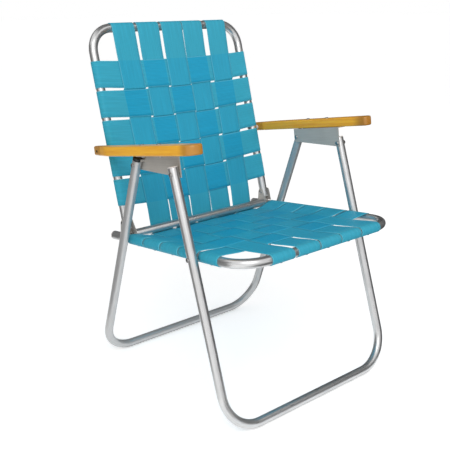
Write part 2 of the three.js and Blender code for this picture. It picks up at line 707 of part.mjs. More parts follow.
// A plate inside the legs with a flange under the arm and a lip in front of the rear leg's cap.
// The lip keeps the legs from spreading and lets the rear leg swing forward to fold.
function armBracket(side, legEnd) {
  const top = ARM_RISE - FIT;
  const outline = new THREE.Shape([
    new THREE.Vector2(-BRACKET_MARGIN, top),
    new THREE.Vector2(-BRACKET_MARGIN, -BRACKET_FRONT_DROP),
    new THREE.Vector2(legEnd.x + BRACKET_MARGIN, legEnd.y - BRACKET_REAR_DROP),
    new THREE.Vector2(legEnd.x + BRACKET_MARGIN, top),
  ]);
  const flangeEnd = legEnd.x - 2 * TUBE_RADIUS;
  const flange = new THREE.BoxGeometry(FLANGE_WIDTH, flangeEnd + BRACKET_MARGIN, PLATE);
  flange.translate(
    side * (bracketInner + FLANGE_WIDTH / 2),
    (flangeEnd - BRACKET_MARGIN) / 2,
    top - PLATE / 2,
  );
  const lip = new THREE.BoxGeometry(LIP_WIDTH, PLATE, LIP_LENGTH);
  const legAxis = ARM_TILT + rearLegLean;
  lip.translate(0, -vertexRadius - FIT - PLATE / 2, REAR_LEG_TAIL + FIT + CAP_HEIGHT - LIP_LENGTH / 2);
  lip.rotateX(rad(legAxis)).translate(side * (bracketInner + LIP_WIDTH / 2), legEnd.x, legEnd.y);
  const bracket = join([slab(outline, side, bracketInner, bracketOuter), flange, lip]);
  const screwHoles = armScrewPlaces.map((place) => {
    return hingeRivetHole().translate(side * armScrewX(), place, ARM_RISE);
  });
  const pivotHoles = [new THREE.Vector2(), legEnd].map((place) => crossHole(place, PIN_RADIUS));
  return cut(bracket, [...pivotHoles, ...screwHoles]);
}

// A coach screw down through the arm and the flange, with its nut. Its place 0 is the arm's underside.
function armScrew() {
  const under = -FIT - PLATE - FIT;
  const over = ARM_THICKNESS + FIT;
  const points = [
    [0, under - HEAD_HEIGHT],
    [HEAD_RADIUS - 1, under - HEAD_HEIGHT],
    [HEAD_RADIUS - 1, under],
    [SCREW_RADIUS, under],
    [SCREW_RADIUS, over],
    [HEAD_RADIUS, over],
    [HEAD_RADIUS - 1, over + 1.4],
    [HEAD_RADIUS - 3, over + 2.2],
    [0, over + 2.4],
  ].map(([radius, place]) => new THREE.Vector2(radius, place));
  return new THREE.LatheGeometry(points, PIN_SIDES).rotateX(Math.PI / 2);
}

// The screw that carries the back: head inside the back tube, through the spacer, into the arm's edge.
function backPivotScrew(side) {
  const head = backX - vertexRadius - FIT;
  return turned([
    [0, head - HEAD_HEIGHT],
    [HEAD_RADIUS - 2, head - HEAD_HEIGHT],
    [HEAD_RADIUS - 1, head],
    [SCREW_RADIUS, head],
    [SCREW_RADIUS, armInner + ARM_SCREW_DEPTH],
    [0, armInner + ARM_SCREW_DEPTH + 1 - FIT],
  ], side);
}

function backPivotSpacer(side) {
  const bore = SCREW_RADIUS + PIN_PLAY;
  const inner = armInner - FIT - SPACER_LENGTH;
  const outer = armInner - FIT;
  return turned([
    [bore, inner],
    [SPACER_RADIUS, inner],
    [SPACER_RADIUS, outer],
    [bore, outer],
    [bore, inner],
  ], side);
}

addFrontLegs();
addRearLegs();
addSeat();
addBack();
addArms();

// The chair stands with its outside box centred on the origin.
const chair = new THREE.Group();
chair.add(frontLegs, rearLegs, seat, back, arms);
const box = new THREE.Box3().setFromObject(chair, true);
chair.position.y = -(box.min.y + box.max.y) / 2;
chair.userData.pivots = { legPivot, seatPivot, hingePivot, armPivot, rearPivot };

export default chair;
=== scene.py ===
"""Folding webbed lawn chair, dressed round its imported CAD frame.

Metres. +X is the sitter's left, +Y the rear of the chair and +Z up.
"""
import json
import logging
import math
from collections.abc import Sequence
from dataclasses import dataclass, replace
from enum import Enum

import bmesh
import bpy
from bmesh.types import BMEdge, BMesh, BMVert
from bpy.types import ID, Material, Node, NodeSocket, NodeTree, Object
from mathutils import Matrix, Vector

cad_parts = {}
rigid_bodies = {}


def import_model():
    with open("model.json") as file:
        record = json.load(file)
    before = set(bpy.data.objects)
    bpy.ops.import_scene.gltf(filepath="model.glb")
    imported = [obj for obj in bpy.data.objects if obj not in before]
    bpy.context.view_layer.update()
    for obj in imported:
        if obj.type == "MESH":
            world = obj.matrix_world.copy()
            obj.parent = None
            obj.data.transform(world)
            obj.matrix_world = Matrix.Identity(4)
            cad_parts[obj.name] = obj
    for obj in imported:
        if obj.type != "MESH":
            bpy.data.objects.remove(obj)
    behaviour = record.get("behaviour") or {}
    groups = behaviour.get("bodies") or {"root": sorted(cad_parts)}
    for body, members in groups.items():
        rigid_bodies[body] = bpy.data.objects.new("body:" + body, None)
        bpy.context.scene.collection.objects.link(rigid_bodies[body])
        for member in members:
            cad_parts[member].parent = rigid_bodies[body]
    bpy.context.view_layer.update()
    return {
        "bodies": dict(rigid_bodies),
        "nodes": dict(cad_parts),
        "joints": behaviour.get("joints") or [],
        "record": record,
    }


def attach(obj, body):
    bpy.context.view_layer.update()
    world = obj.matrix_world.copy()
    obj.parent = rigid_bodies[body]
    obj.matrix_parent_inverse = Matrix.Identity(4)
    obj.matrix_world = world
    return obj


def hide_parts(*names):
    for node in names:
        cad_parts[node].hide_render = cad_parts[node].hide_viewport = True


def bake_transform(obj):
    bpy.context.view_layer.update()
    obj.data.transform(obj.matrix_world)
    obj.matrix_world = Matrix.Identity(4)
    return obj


LOG = logging.getLogger("lawn_chair")

Pair = tuple[float, float]
Profile = list[Pair]
Colour = tuple[float, float, float, float]

# Tube, webbing and fits, after the faceted CAD solids
TUBE_RADIUS = 0.0112
TUBE_WALL = 0.0012
FACET_RADIUS = 0.011388
FIT = 0.0003
PLATE = 0.002
STRAP_WIDTH = 0.067
STRAP_WRAP = 0.012188
STRAP_OUTER = 0.012688
STRAP_BODY = 0.0009
STRAP_CREASE = 60.0
OVER_UNDER = 0.00065
COLUMN_EASE = 0.0007
ROW_EASE = 0.0004
SHADE_EASE = 0.0004

# Where straps start and end on the tubes they wrap, in degrees
RAIL_TURN = (290.0, 90.0)
SIDE_REST = 98.0
SIDE_TURN = 100.0

# Places across the chair, from its middle
LEG_X = 0.2715
SEAT_X = 0.244524
BACK_X = 0.238224
BRACKET_INNER = 0.257812
ARM_INNER = 0.259012
EAR_INNER = 0.226536
EAR_OUTER = 0.249912

# Pins, screws, spacers and plugs
PIN_RADIUS = 0.003
SCREW_RADIUS = 0.0025
HEAD_RADIUS = 0.0055
HEAD_HEIGHT = 0.0028
SMALL_HEAD_RADIUS = 0.0045
RIM_EASE = 0.0006
CLIP_HEAD_HEIGHT = 0.002
COACH_HEAD_HEIGHT = 0.0024
ARM_SCREW_DEPTH = 0.013
ARM_SCREW_POINT = 0.0007
STRAP_SCREW_SHANK = 0.0018
STRAP_SCREW_DEPTH = 0.001
STRAP_SCREW_HEAD = (0.0036, 0.0016)
SPACER_LENGTH = 0.0075
SPACER_RADIUS = 0.006
SPACER_BORE = 0.0028
SPACER_EASE = 0.0005
PLUG_DEPTH = 0.007
PLUG_EASE = 0.0003

# Sheet metal: what is merged in the CAD triangles, and the eased edges, with angles in degrees
MERGE_GAP = 1e-5
MERGE_ANGLE = 1.0
SHEET_FOLD = 50.0
SHEET_EASE = 0.0004
SHEET_CREASE = 15.0

# The least angle of a rim that is rounded off, and the usual crease, in degrees
RIM_ANGLE = 60.0
CREASE = 35.0

ALONG = Matrix.Rotation(math.radians(-90.0), 4, "X")


class Body(Enum):
    """The CAD bodies that pieces ride on."""

    FRONT_LEGS = "front_legs"
    REAR_LEGS = "rear_legs"
    SEAT = "seat"
    BACK = "back"
    ARMS = "arms"


class Side(Enum):
    """A side of the chair, with the sign of X on it."""

    LEFT = 1
    RIGHT = -1

    def __str__(self) -> str:
        """Give the side's name, as the pieces have it."""
        return self.name.lower()


class Slot(Enum):
    """The record's material slots."""

    TUBE = "aluminium_tube"
    SHEET = "sheet_metal"
    STEEL = "steel"
    WOOD = "wood"
    WEBBING = "webbing"
    BLACK = "black_plastic"
    PALE = "pale_plastic"


@dataclass(frozen=True)
class SideFrame:
    """A frame of the side view: local y runs along a piece and local z stands off its face."""

    y: float
    z: float
    degrees: float = 0.0  # the turn about X

    def matrix(self) -> Matrix:
        """Give this frame's place in the chair."""
        turn = Matrix.Rotation(math.radians(self.degrees), 4, "X")
        return Matrix.Translation((0.0, self.y, self.z)) @ turn

    def at(self, x: float, along: float, off: float) -> Matrix:
        """Give the place of a point across, along and off this frame, turned as the frame is."""
        return self.matrix() @ Matrix.Translation((x, along, off))


FRONT_FRAME = SideFrame(-0.275505, 0.011, 72.0)
REAR_FRAME = SideFrame(0.260495, 0.011, 109.909)
SEAT_FRAME = SideFrame(-0.296214, 0.411297, -6.1)
BACK_FRAME = SideFrame(0.296085, 0.874748, -105.1)
ARM_FRAME = SideFrame(-0.093936, 0.577593, -8.9)

LEG_PIVOT = SideFrame(-0.093936, 0.577593)
REAR_PIVOT = SideFrame(0.056726, 0.573636)
SEAT_PIVOT = SideFrame(-0.148057, 0.395464)
HINGE_PIVOT = SideFrame(0.165604, 0.400391)
ARM_PIVOT = SideFrame(0.219726, 0.582520)


def grey(level: float) -> Colour:
    """Give a neutral colour of one level."""
    return (level, level, level, 1.0)


class NodeSheet:
    """Adds and links the nodes of one material, group or world."""

    def __init__(self, tree: NodeTree) -> None:
        """Take the tree that the nodes go into."""
        self.tree = tree

    def add(self, kind: str, inputs: dict | None = None, **settings: object) -> Node:
        """Add one node.

        Args:
            kind: The node's type.
            inputs: Input names or numbers, each with a value or a socket to link.
            **settings: The node's own settings.

        Returns:
            The new node.
        """
        node = self.tree.nodes.new(kind)
        for name, value in settings.items():
            setattr(node, name, value)
        for name, value in (inputs or {}).items():
            self.feed(node.inputs[name], value)
        return node

    def feed(self, socket: NodeSocket, value: object) -> None:
        """Link a socket into an input, or set the input's own value.

        Args:
            socket: The input.
            value: A socket or a plain value.
        """
        if isinstance(value, NodeSocket):
            self.tree.links.new(value, socket)
        else:
            socket.default_value = value

    def math(self, operation: str, *values: object) -> NodeSocket:
        """Add a Math node on some values or sockets and give its result."""
        return self.add("ShaderNodeMath", dict(enumerate(values)), operation=operation).outputs[0]

    def remap(self, value: NodeSocket, source: Pair, target: Pair) -> NodeSocket:
        """Map a value smoothly from one range to another."""
        limits = dict(enumerate((value, *source, *target)))
        return self.add("ShaderNodeMapRange", limits, interpolation_type="SMOOTHSTEP").outputs[0]

    def mix(self, share: object, first: object, second: object, how: str = "MIX") -> NodeSocket:
        """Mix a share of a second colour into a first."""
        inputs = {0: share, 6: first, 7: second}
        return self.add("ShaderNodeMix", inputs, data_type="RGBA", blend_type=how).outputs[2]

    def group(self, tree: NodeTree, **inputs: object) -> NodeSocket:
        """Place a node group with its own values and give its result."""
        return self.add("ShaderNodeGroup", inputs, node_tree=tree).outputs[0]


@dataclass(frozen=True)
class SharedEffects:
    """The node groups that several finishes use."""

    streaks: NodeTree  # fine lines drawn out along the third axis
    patches: NodeTree  # soft patches of handling, dust or fading

    @classmethod
    def build(cls) -> "SharedEffects":
        """Make both groups."""
        return cls(streaks=cls._streaks(), patches=cls._patches())

    @staticmethod
    def _start(name: str, values: Sequence[str], result: str) -> tuple[NodeSheet, list[NodeSocket], NodeSocket]:
        """Start a group with its sockets.

        Args:
            name: The group's name.
            values: The names of its inputs after Vector.
            result: The name of its one output.

        Returns:
            The sheet, the inputs in order and the output.
        """
        tree = bpy.data.node_groups.new(name, "ShaderNodeTree")
        tree.interface.new_socket(name="Vector", in_out="INPUT", socket_type="NodeSocketVector")
        for label in values:
            tree.interface.new_socket(name=label, in_out="INPUT", socket_type="NodeSocketFloat")
        tree.interface.new_socket(name=result, in_out="OUTPUT", socket_type="NodeSocketFloat")
        sheet = NodeSheet(tree)
        given = sheet.add("NodeGroupInput").outputs
        return sheet, [given[label] for label in ("Vector", *values)], sheet.add("NodeGroupOutput").inputs[result]

    @classmethod
    def _streaks(cls) -> NodeTree:
        """Make the group of fine drawn-out lines.

        Returns:
            The group.
        """
        sheet, (vector, scale, stretch), result = cls._start("drawn_streaks", ("Scale", "Stretch"), "Streak")
        along = sheet.math("MULTIPLY", scale, stretch)
        scales = sheet.add("ShaderNodeCombineXYZ", {0: scale, 1: scale, 2: along}).outputs[0]
        place = sheet.add("ShaderNodeVectorMath", {0: vector, 1: scales}, operation="MULTIPLY").outputs[0]
        noise = sheet.add("ShaderNodeTexNoise", {"Vector": place, "Scale": 1.0, "Detail": 4.0}).outputs[0]
        sheet.feed(result, sheet.remap(noise, (0.3, 0.7), (0.0, 1.0)))
        return sheet.tree

    @classmethod
    def _patches(cls) -> NodeTree:
        """Make the group of soft patches.

        Returns:
            The group.
        """
        sheet, (vector, scale, low, high), result = cls._start("soft_patches", ("Scale", "Low", "High"), "Patch")
        noise = sheet.add("ShaderNodeTexNoise", {"Vector": vector, "Scale": scale, "Detail": 5.0}).outputs[0]
        sheet.feed(result, sheet.add("ShaderNodeMapRange", {0: noise, 1: low, 2: high}).outputs[0])
        return sheet.tree


class Surface(NodeSheet):
    """The node sheet of one material, with its Principled shader."""

    def __init__(self, name: str, **constants: object) -> None:
        """Start the material.

        Args:
            name: The material's name.
            **constants: Shader inputs that are the same all over, with _ for a space.
        """
        self.material = bpy.data.materials.new(name)
        self.material.use_nodes = True
        super().__init__(self.material.node_tree)
        self.shader = next(node for node in self.tree.nodes if node.type == "BSDF_PRINCIPLED")
        for label, value in constants.items():
            self.shader.inputs[label.replace("_", " ")].default_value = value

    def place(self) -> NodeSocket:
        """Read the place in the chair."""
        return self.add("ShaderNodeTexCoord").outputs["Object"]

    def attribute(self, name: str, output: str) -> NodeSocket:
        """Read one of the piece's own attributes."""
        return self.add("ShaderNodeAttribute", attribute_name=name).outputs[output]

    def moved(self, vector: NodeSocket, how: str, by: Sequence[float]) -> NodeSocket:
        """Move or turn a pattern with a Mapping node."""
        return self.add("ShaderNodeMapping", {"Vector": vector, how: by}).outputs[0]

    def dress(self, colour: NodeSocket, rough: NodeSocket, relief: NodeSocket, bump: Pair) -> Material:
        """Feed the shader what changes over the surface.

        Args:
            colour: The base colour.
            rough: The roughness.
            relief: The height of the surface.
            bump: The strength and depth of that relief.

        Returns:
            The finished material.
        """
        values = {"Strength": bump[0], "Distance": bump[1], "Height": relief}
        normal = self.add("ShaderNodeBump", values).outputs[0]
        for label, value in (("Base Color", colour), ("Roughness", rough), ("Normal", normal)):
            self.feed(self.shader.inputs[label], value)
        return self.material


ALONG_ARM = (math.radians(-ARM_FRAME.degrees - 90.0), 0.0, 0.0)
UPRIGHT = (0.0, 0.0, 0.0)


@dataclass(frozen=True)
class MetalFinish:
    """Drawn or rolled metal with fine streaks, handling marks and scuffs near the floor."""

    name: str
    dark: Colour  # the colour in the streaks and marks
    light: Colour  # the colour between them
    rough: Pair  # the least and greatest roughness
    attribute: str = ""  # the attribute the streaks follow, or none for Object coordinates
    streak_scale: float = 900.0  # how many streaks there are to a metre
    scuff_height: float = 0.0  # up to what height the floor scuffs the metal
    metallic: float = 1.0  # how bare the metal is, less where it is dulled
    turn: tuple[float, float, float] = UPRIGHT  # the turn of streaks that follow Object coordinates

    def material(self, effects: SharedEffects) -> Material:
        """Make the material.

        Args:
            effects: The shared node groups.

        Returns:
            The finished material.
        """
        surface = Surface(self.name, Metallic=self.metallic)
        place = surface.place()
        if self.attribute:
            follow = surface.attribute(self.attribute, "Vector")
        else:
            follow = surface.moved(place, "Rotation", self.turn)
        streak = surface.group(effects.streaks, Vector=follow, Scale=self.streak_scale, Stretch=0.02)
        patch = surface.group(effects.patches, Vector=place, Scale=26.0, Low=0.42, High=0.75)
        share = surface.math("MULTIPLY_ADD", streak, 0.55, surface.math("MULTIPLY", patch, 0.4))
        colour = surface.mix(share, self.light, self.dark)
        rough = surface.remap(share, (0.0, 1.0), self.rough)
        if self.scuff_height:
            height = surface.add("ShaderNodeSeparateXYZ", {0: place}).outputs[2]
            low = surface.remap(height, (self.scuff_height * 0.2, self.scuff_height), (1.0, 0.0))
            grit = surface.group(effects.patches, Vector=place, Scale=420.0, Low=0.45, High=0.6)
            scuff = surface.math("MULTIPLY", low, grit)
            colour = surface.mix(scuff, colour, grey(0.16))
            rough = surface.math("MAXIMUM", rough, surface.math("MULTIPLY", scuff, 0.6))
        return surface.dress(colour, rough, streak, (0.12, 0.0002))


@dataclass(frozen=True)
class WoodFinish:
    """Varnished wood with its grain along the arm and painted shade at both ends."""

    pale: Colour = (1.0, 0.54, 0.03, 1.0)  # the colour between the grain lines
    grain: Colour = (0.80, 0.31, 0.01, 1.0)
    # end: painted shade at both ends of the arm, where the rear cut and the round nose turn from the light
    end: Colour = (0.42, 0.17, 0.018, 1.0)
    rear_end: Pair = (-0.290, -0.277)  # where the painted shade of the rear end fades, ahead of the front leg's pivot
    front_end: Pair = (0.052, 0.085)  # the same of the painted shade at the front end

    def material(self, effects: SharedEffects) -> Material:
        """Make the material.

        Args:
            effects: The shared node groups.

        Returns:
            The finished material.
        """
        surface = Surface("varnished_wood", Coat_Weight=0.45, Coat_Roughness=0.16)
        place = surface.place()
        level = surface.moved(place, "Location", (0.0, -ARM_FRAME.y, -ARM_FRAME.z))
        along = surface.moved(level, "Rotation", ALONG_ARM)
        fibre = surface.group(effects.streaks, Vector=along, Scale=900.0, Stretch=0.03)
        band = surface.group(effects.streaks, Vector=along, Scale=150.0, Stretch=0.035)
        share = surface.math("MULTIPLY_ADD", band, 0.55, surface.math("MULTIPLY", fibre, 0.35))
        length = surface.add("ShaderNodeSeparateXYZ", {0: along}).outputs[2]
        # Painted shade: the colour darkens towards the rear cut and the round nose.
        rear = surface.remap(length, self.rear_end, (0.65, 0.0))
        front = surface.remap(length, self.front_end, (0.0, 0.9))
        worn = surface.group(effects.patches, Vector=place, Scale=18.0, Low=0.4, High=0.8)
        grained = surface.mix(share, self.pale, self.grain)
        end_shaded = surface.mix(surface.math("MAXIMUM", front, rear), grained, self.end)
        colour = surface.mix(surface.math("MULTIPLY", worn, 0.25), end_shaded, self.pale)
        return surface.dress(colour, surface.remap(worn, (0.0, 1.0), (0.34, 0.48)), fibre, (0.15, 0.0003))


@dataclass(frozen=True)
class WebbingFinish:
    """Ribbed plastic webbing, with painted shade where two straps lie on each other."""

    single: Colour = (0.040, 0.425, 0.590, 1.0)  # the colour of one layer
    double: Colour = (0.008, 0.375, 0.615, 1.0)  # the colour of two layers, with painted shade
    edge: Colour = (0.16, 0.60, 0.74, 1.0)  # painted light along a strap's edges, where light shines through the gaps between straps
    ribs: int = 21  # how many ribs run along a strap
    picks: float = 620.0  # how many cross threads there are to a metre

    def material(self, effects: SharedEffects) -> Material:
        """Make the material.

        Args:
            effects: The shared node groups.

        Returns:
            The finished material.
        """
        surface = Surface("ribbed_webbing", Specular_IOR_Level=0.2)
        straight = surface.attribute("straight", "Vector")
        doubled = surface.attribute("doubled", "Fac")
        axes = surface.add("ShaderNodeSeparateXYZ", {0: straight}).outputs
        rib = self._wave(surface, axes[0], self.ribs / STRAP_WIDTH)
        pick = self._wave(surface, axes[2], self.picks)
        yarn = surface.group(effects.streaks, Vector=straight, Scale=420.0, Stretch=0.025)
        fading = surface.group(effects.patches, Vector=surface.place(), Scale=9.0, Low=0.35, High=0.75)
        # The ribs darken the colour in their grooves: painted shade. The yarn streaks vary the tone.
        groove_shade_and_yarn_tone = surface.math("MULTIPLY_ADD", rib, 0.24, surface.math("MULTIPLY_ADD", yarn, 0.16, 0.66))
        shade = surface.add("ShaderNodeCombineColor", {0: groove_shade_and_yarn_tone, 1: groove_shade_and_yarn_tone, 2: groove_shade_and_yarn_tone}).outputs[0]
        # Painted shade: two layers let less light through, so the colour darkens where straps lie two deep.
        layer_shaded = surface.mix(doubled, self.single, self.double)
        shaded = surface.mix(0.8, layer_shaded, shade, "MULTIPLY")
        aside = surface.math("ABSOLUTE", axes[0])
        # Painted light: the strap's edges are lightened, as if light shone through the gaps between straps.
        edge_light = surface.remap(aside, (STRAP_WIDTH * 0.455, STRAP_WIDTH * 0.485), (0.0, 0.55))
        edge_lit = surface.mix(edge_light, shaded, self.edge)
        colour = surface.mix(surface.math("MULTIPLY", fading, 0.16), edge_lit, self.single)
        relief = surface.math("MULTIPLY_ADD", pick, 0.3, rib)
        return surface.dress(colour, surface.remap(rib, (0.0, 1.0), (0.58, 0.42)), relief, (0.45, 0.0004))

    @staticmethod
    def _wave(surface: Surface, place: NodeSocket, per_metre: float) -> NodeSocket:
        """Turn a place in metres into so many waves from 0 to 1 to a metre."""
        turns = surface.math("SINE", surface.math("MULTIPLY", place, per_metre * math.tau))
        return surface.math("MULTIPLY_ADD", turns, 0.5, 0.5)


@dataclass(frozen=True)
class PlasticFinish:
    """Moulded plastic with a fine grain and rubbed patches."""

    name: str
    colour: Colour
    rubbed: Colour  # the colour where it is rubbed or dusty
    rough: Pair = (0.38, 0.6)  # the least and greatest roughness

    def material(self, effects: SharedEffects) -> Material:
        """Make the material.

        Args:
            effects: The shared node groups.

        Returns:
            The finished material.
        """
        surface = Surface(self.name)
        place = surface.place()
        patch = surface.group(effects.patches, Vector=place, Scale=160.0, Low=0.45, High=0.75)
        grain = surface.add("ShaderNodeTexNoise", {"Vector": place, "Scale": 2600.0, "Detail": 2.0}).outputs[0]
        colour = surface.mix(patch, self.colour, self.rubbed)
        return surface.dress(colour, surface.remap(patch, (0.0, 1.0), self.rough), grain, (0.15, 0.0001))


class Finishes:
    """The chair's materials, one for each slot."""

    def __init__(self) -> None:
        """Make every material once."""
        effects = SharedEffects.build()
        tube = MetalFinish("drawn_aluminium", grey(0.52), grey(0.70), (0.27, 0.39), "straight", 1100.0, 0.012, 0.88)
        dulled = replace(tube, name="dulled_aluminium", light=grey(0.60), rough=(0.29, 0.41), metallic=0.58)
        dark_sheet, light_sheet = (0.43, 0.41, 0.38, 1.0), (0.53, 0.51, 0.475, 1.0)
        made = {
            Slot.TUBE: tube,
            Slot.SHEET: MetalFinish(
                "rolled_sheet", dark_sheet, light_sheet, (0.5, 0.66), "", 500.0, metallic=0.2, turn=ALONG_ARM
            ),
            Slot.STEEL: MetalFinish("plated_steel", grey(0.30), grey(0.48), (0.25, 0.42), "", 700.0),
            Slot.WOOD: WoodFinish(),
            Slot.WEBBING: WebbingFinish(),
            Slot.BLACK: PlasticFinish("black_plastic", grey(0.012), grey(0.03)),
            Slot.PALE: PlasticFinish("pale_plastic", (0.78, 0.75, 0.74, 1.0), (0.66, 0.62, 0.6, 1.0)),
        }
        self._materials = {slot: finish.material(effects) for slot, finish in made.items()}
        self.dulled_tube = dulled.material(effects)

    def of(self, slot: Slot) -> Material:
        """Give a slot's material."""
        return self._materials[slot]


def linked(name: str, data: ID) -> Object:
    """Put a new object into the scene.

    Args:
        name: The object's name.
        data: Its mesh, lamp or camera.

    Returns:
        The object.
    """
    made = bpy.data.objects.new(name, data)
    bpy.context.scene.collection.objects.link(made)
    return made


def solid(name: str, mesh: BMesh, material: Material) -> Object:
    """Make an object of a bmesh, which is used up.

    Args:
        name: The object's name.
        mesh: Its shape.
        material: Its finish.

    Returns:
        The object.
    """
    data = bpy.data.meshes.new(name)
    mesh.to_mesh(data)
    mesh.free()
    data.materials.append(material)
    return linked(name, data)


class Workshop:
    """Turns finished bmeshes into pieces that ride on the frame."""

    def __init__(self, frame: dict) -> None:
        self.frame = frame
        self.finishes = Finishes()

    def piece(
        self,
        name: str,
        mesh: BMesh,
        slot: Slot,
        body: Body | None,
        nodes: Sequence[str] = (),
        crease: float = CREASE,
    ) -> Object:
        """Make an object of a bmesh, dress it and put it on its body.

        Args:
            name: The piece's name.
            mesh: The shape, in the chair's frame.
            slot: The finish.
            body: The body that carries it, or none.
            nodes: The CAD nodes that it stands for.
            crease: The angle past which an edge stays sharp.

        Returns:
            The piece.
        """
        made = solid(name, mesh, self.finishes.of(slot))
        made.data.shade_smooth()
        made.data.set_sharp_from_angle(angle=math.radians(crease))
        if body is not None:
            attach(made, body.value)
        if nodes:
            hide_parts(*nodes)
        LOG.info("made %s", name)
        return made

    def fastening(self, name: str, profile: Profile, place: Matrix, body: Body, node: str) -> None:
        """Turn a steel pin, bolt or screw and put it on its body."""
        self.piece(name, turned(profile, place), Slot.STEEL, body, [node])

    def sheet_metal(self, name: str, body: Body, node: str) -> None:
        """Copy a sheet-metal node, merge its loose triangles and ease its edges.

        Args:
            name: The piece's name.
            body: The body that carries it.
            node: The CAD node.
        """
        mesh = bmesh.new()
        mesh.from_mesh(self.frame["nodes"][node].data)
        bmesh.ops.remove_doubles(mesh, verts=mesh.verts, dist=MERGE_GAP)
        bmesh.ops.dissolve_limit(
            mesh, angle_limit=math.radians(MERGE_ANGLE), verts=mesh.verts, edges=mesh.edges,
            use_dissolve_boundaries=False,
        )
        bevel(mesh, sharp(mesh, SHEET_FOLD), SHEET_EASE, 2, clamp=True)
        self.piece(name, mesh, Slot.SHEET, body, [node], SHEET_CREASE)


def only(kind: type, geometry: Sequence) -> list:
    """Pick the elements of one kind out of a bmesh operator's result."""
    return [item for item in geometry if isinstance(item, kind)]


def sharp(mesh: BMesh, degrees: float) -> list[BMEdge]:
    """Find the edges whose faces meet at more than an angle."""
    return [edge for edge in mesh.edges if edge.calc_face_angle(0.0) > math.radians(degrees)]


def bevel(mesh: BMesh, edges: Sequence[BMEdge], offset: float, segments: int, clamp: bool = False) -> None:
    """Round edges off, with the rounds kept from overlapping where clamp is set."""
    bmesh.ops.bevel(
        mesh, geom=edges, offset=offset, segments=segments, profile=0.5, affect="EDGES", material=-1,
        clamp_overlap=clamp,
    )


def placed(mesh: BMesh, place: Matrix) -> BMesh:
    """Move a finished shape to its place."""
    bmesh.ops.transform(mesh, matrix=place, verts=mesh.verts)
    return mesh


def pull(mesh: BMesh, edges: Sequence[BMEdge], by: Vector, steps: int = 1) -> list[BMEdge]:
    """Extrude a chain of edges in equal steps.

    Args:
        mesh: The bmesh.
        edges: The edges to extrude.
        by: How far they move in all.
        steps: How many steps they take.

    Returns:
        The last new edges.
    """
    for _ in range(steps):
        made = bmesh.ops.extrude_edge_only(mesh, edges=edges)["geom"]
        bmesh.ops.translate(mesh, verts=only(BMVert, made), vec=by / steps)
        edges = only(BMEdge, made)
    return edges


def turned(profile: Sequence[Pair], place: Matrix, steps: int = 24) -> BMesh:
    """Spin a profile about local z and put it in its place.

    Args:
        profile: Radius and height pairs, from end to end.
        place: Where the turned piece goes.
        steps: The steps of the full turn.

    Returns:
        The closed turned shape.
    """
    mesh = bmesh.new()
    points = [mesh.verts.new((radius, 0.0, height)) for radius, height in profile]
    for first, second in zip(points, points[1:]):
        mesh.edges.new((first, second))
    bmesh.ops.spin(
        mesh, geom=mesh.verts[:] + mesh.edges[:], cent=(0.0, 0.0, 0.0), axis=(0.0, 0.0, 1.0),
        angle=math.tau, steps=steps, use_merge=True,
    )
    bmesh.ops.remove_doubles(mesh, verts=mesh.verts, dist=1e-6)
    bmesh.ops.recalc_face_normals(mesh, faces=mesh.faces)
    return placed(mesh, place)


def dome(radius: float, height: float, base: float, rise: int = 1) -> Profile:
    """Give a domed head's profile from its rim to the axis.

    Args:
        radius: The head's radius.
        height: The head's height.
        base: The place of its flat side.
        rise: 1 where the dome points up, -1 where it points down.

    Returns:
        Radius and height pairs.
    """
    rim = 0.2 * height
    steps = [math.radians(angle) for angle in (0.0, 22.5, 45.0, 67.5)]
    round_part = [(radius * math.cos(a), base + rise * (rim + (height - rim) * math.sin(a))) for a in steps]
    return [(radius, base), *round_part, (0.0, base + rise * height)]


def rivet(inner: float, outer: float) -> Profile:
    """Give a pin's profile with a domed head at both ends, from the chair's middle outward."""
    head = dome(HEAD_RADIUS, HEAD_HEIGHT, inner, -1)[::-1]
    return [*head, (PIN_RADIUS, inner), (PIN_RADIUS, outer), *dome(HEAD_RADIUS, HEAD_HEIGHT, outer)]


def across(side: Side, place: Matrix) -> Matrix:
    """Turn local z to point outward along X on one side of the chair."""
    return place @ Matrix.Rotation(math.radians(90.0 * side.value), 4, "Y")


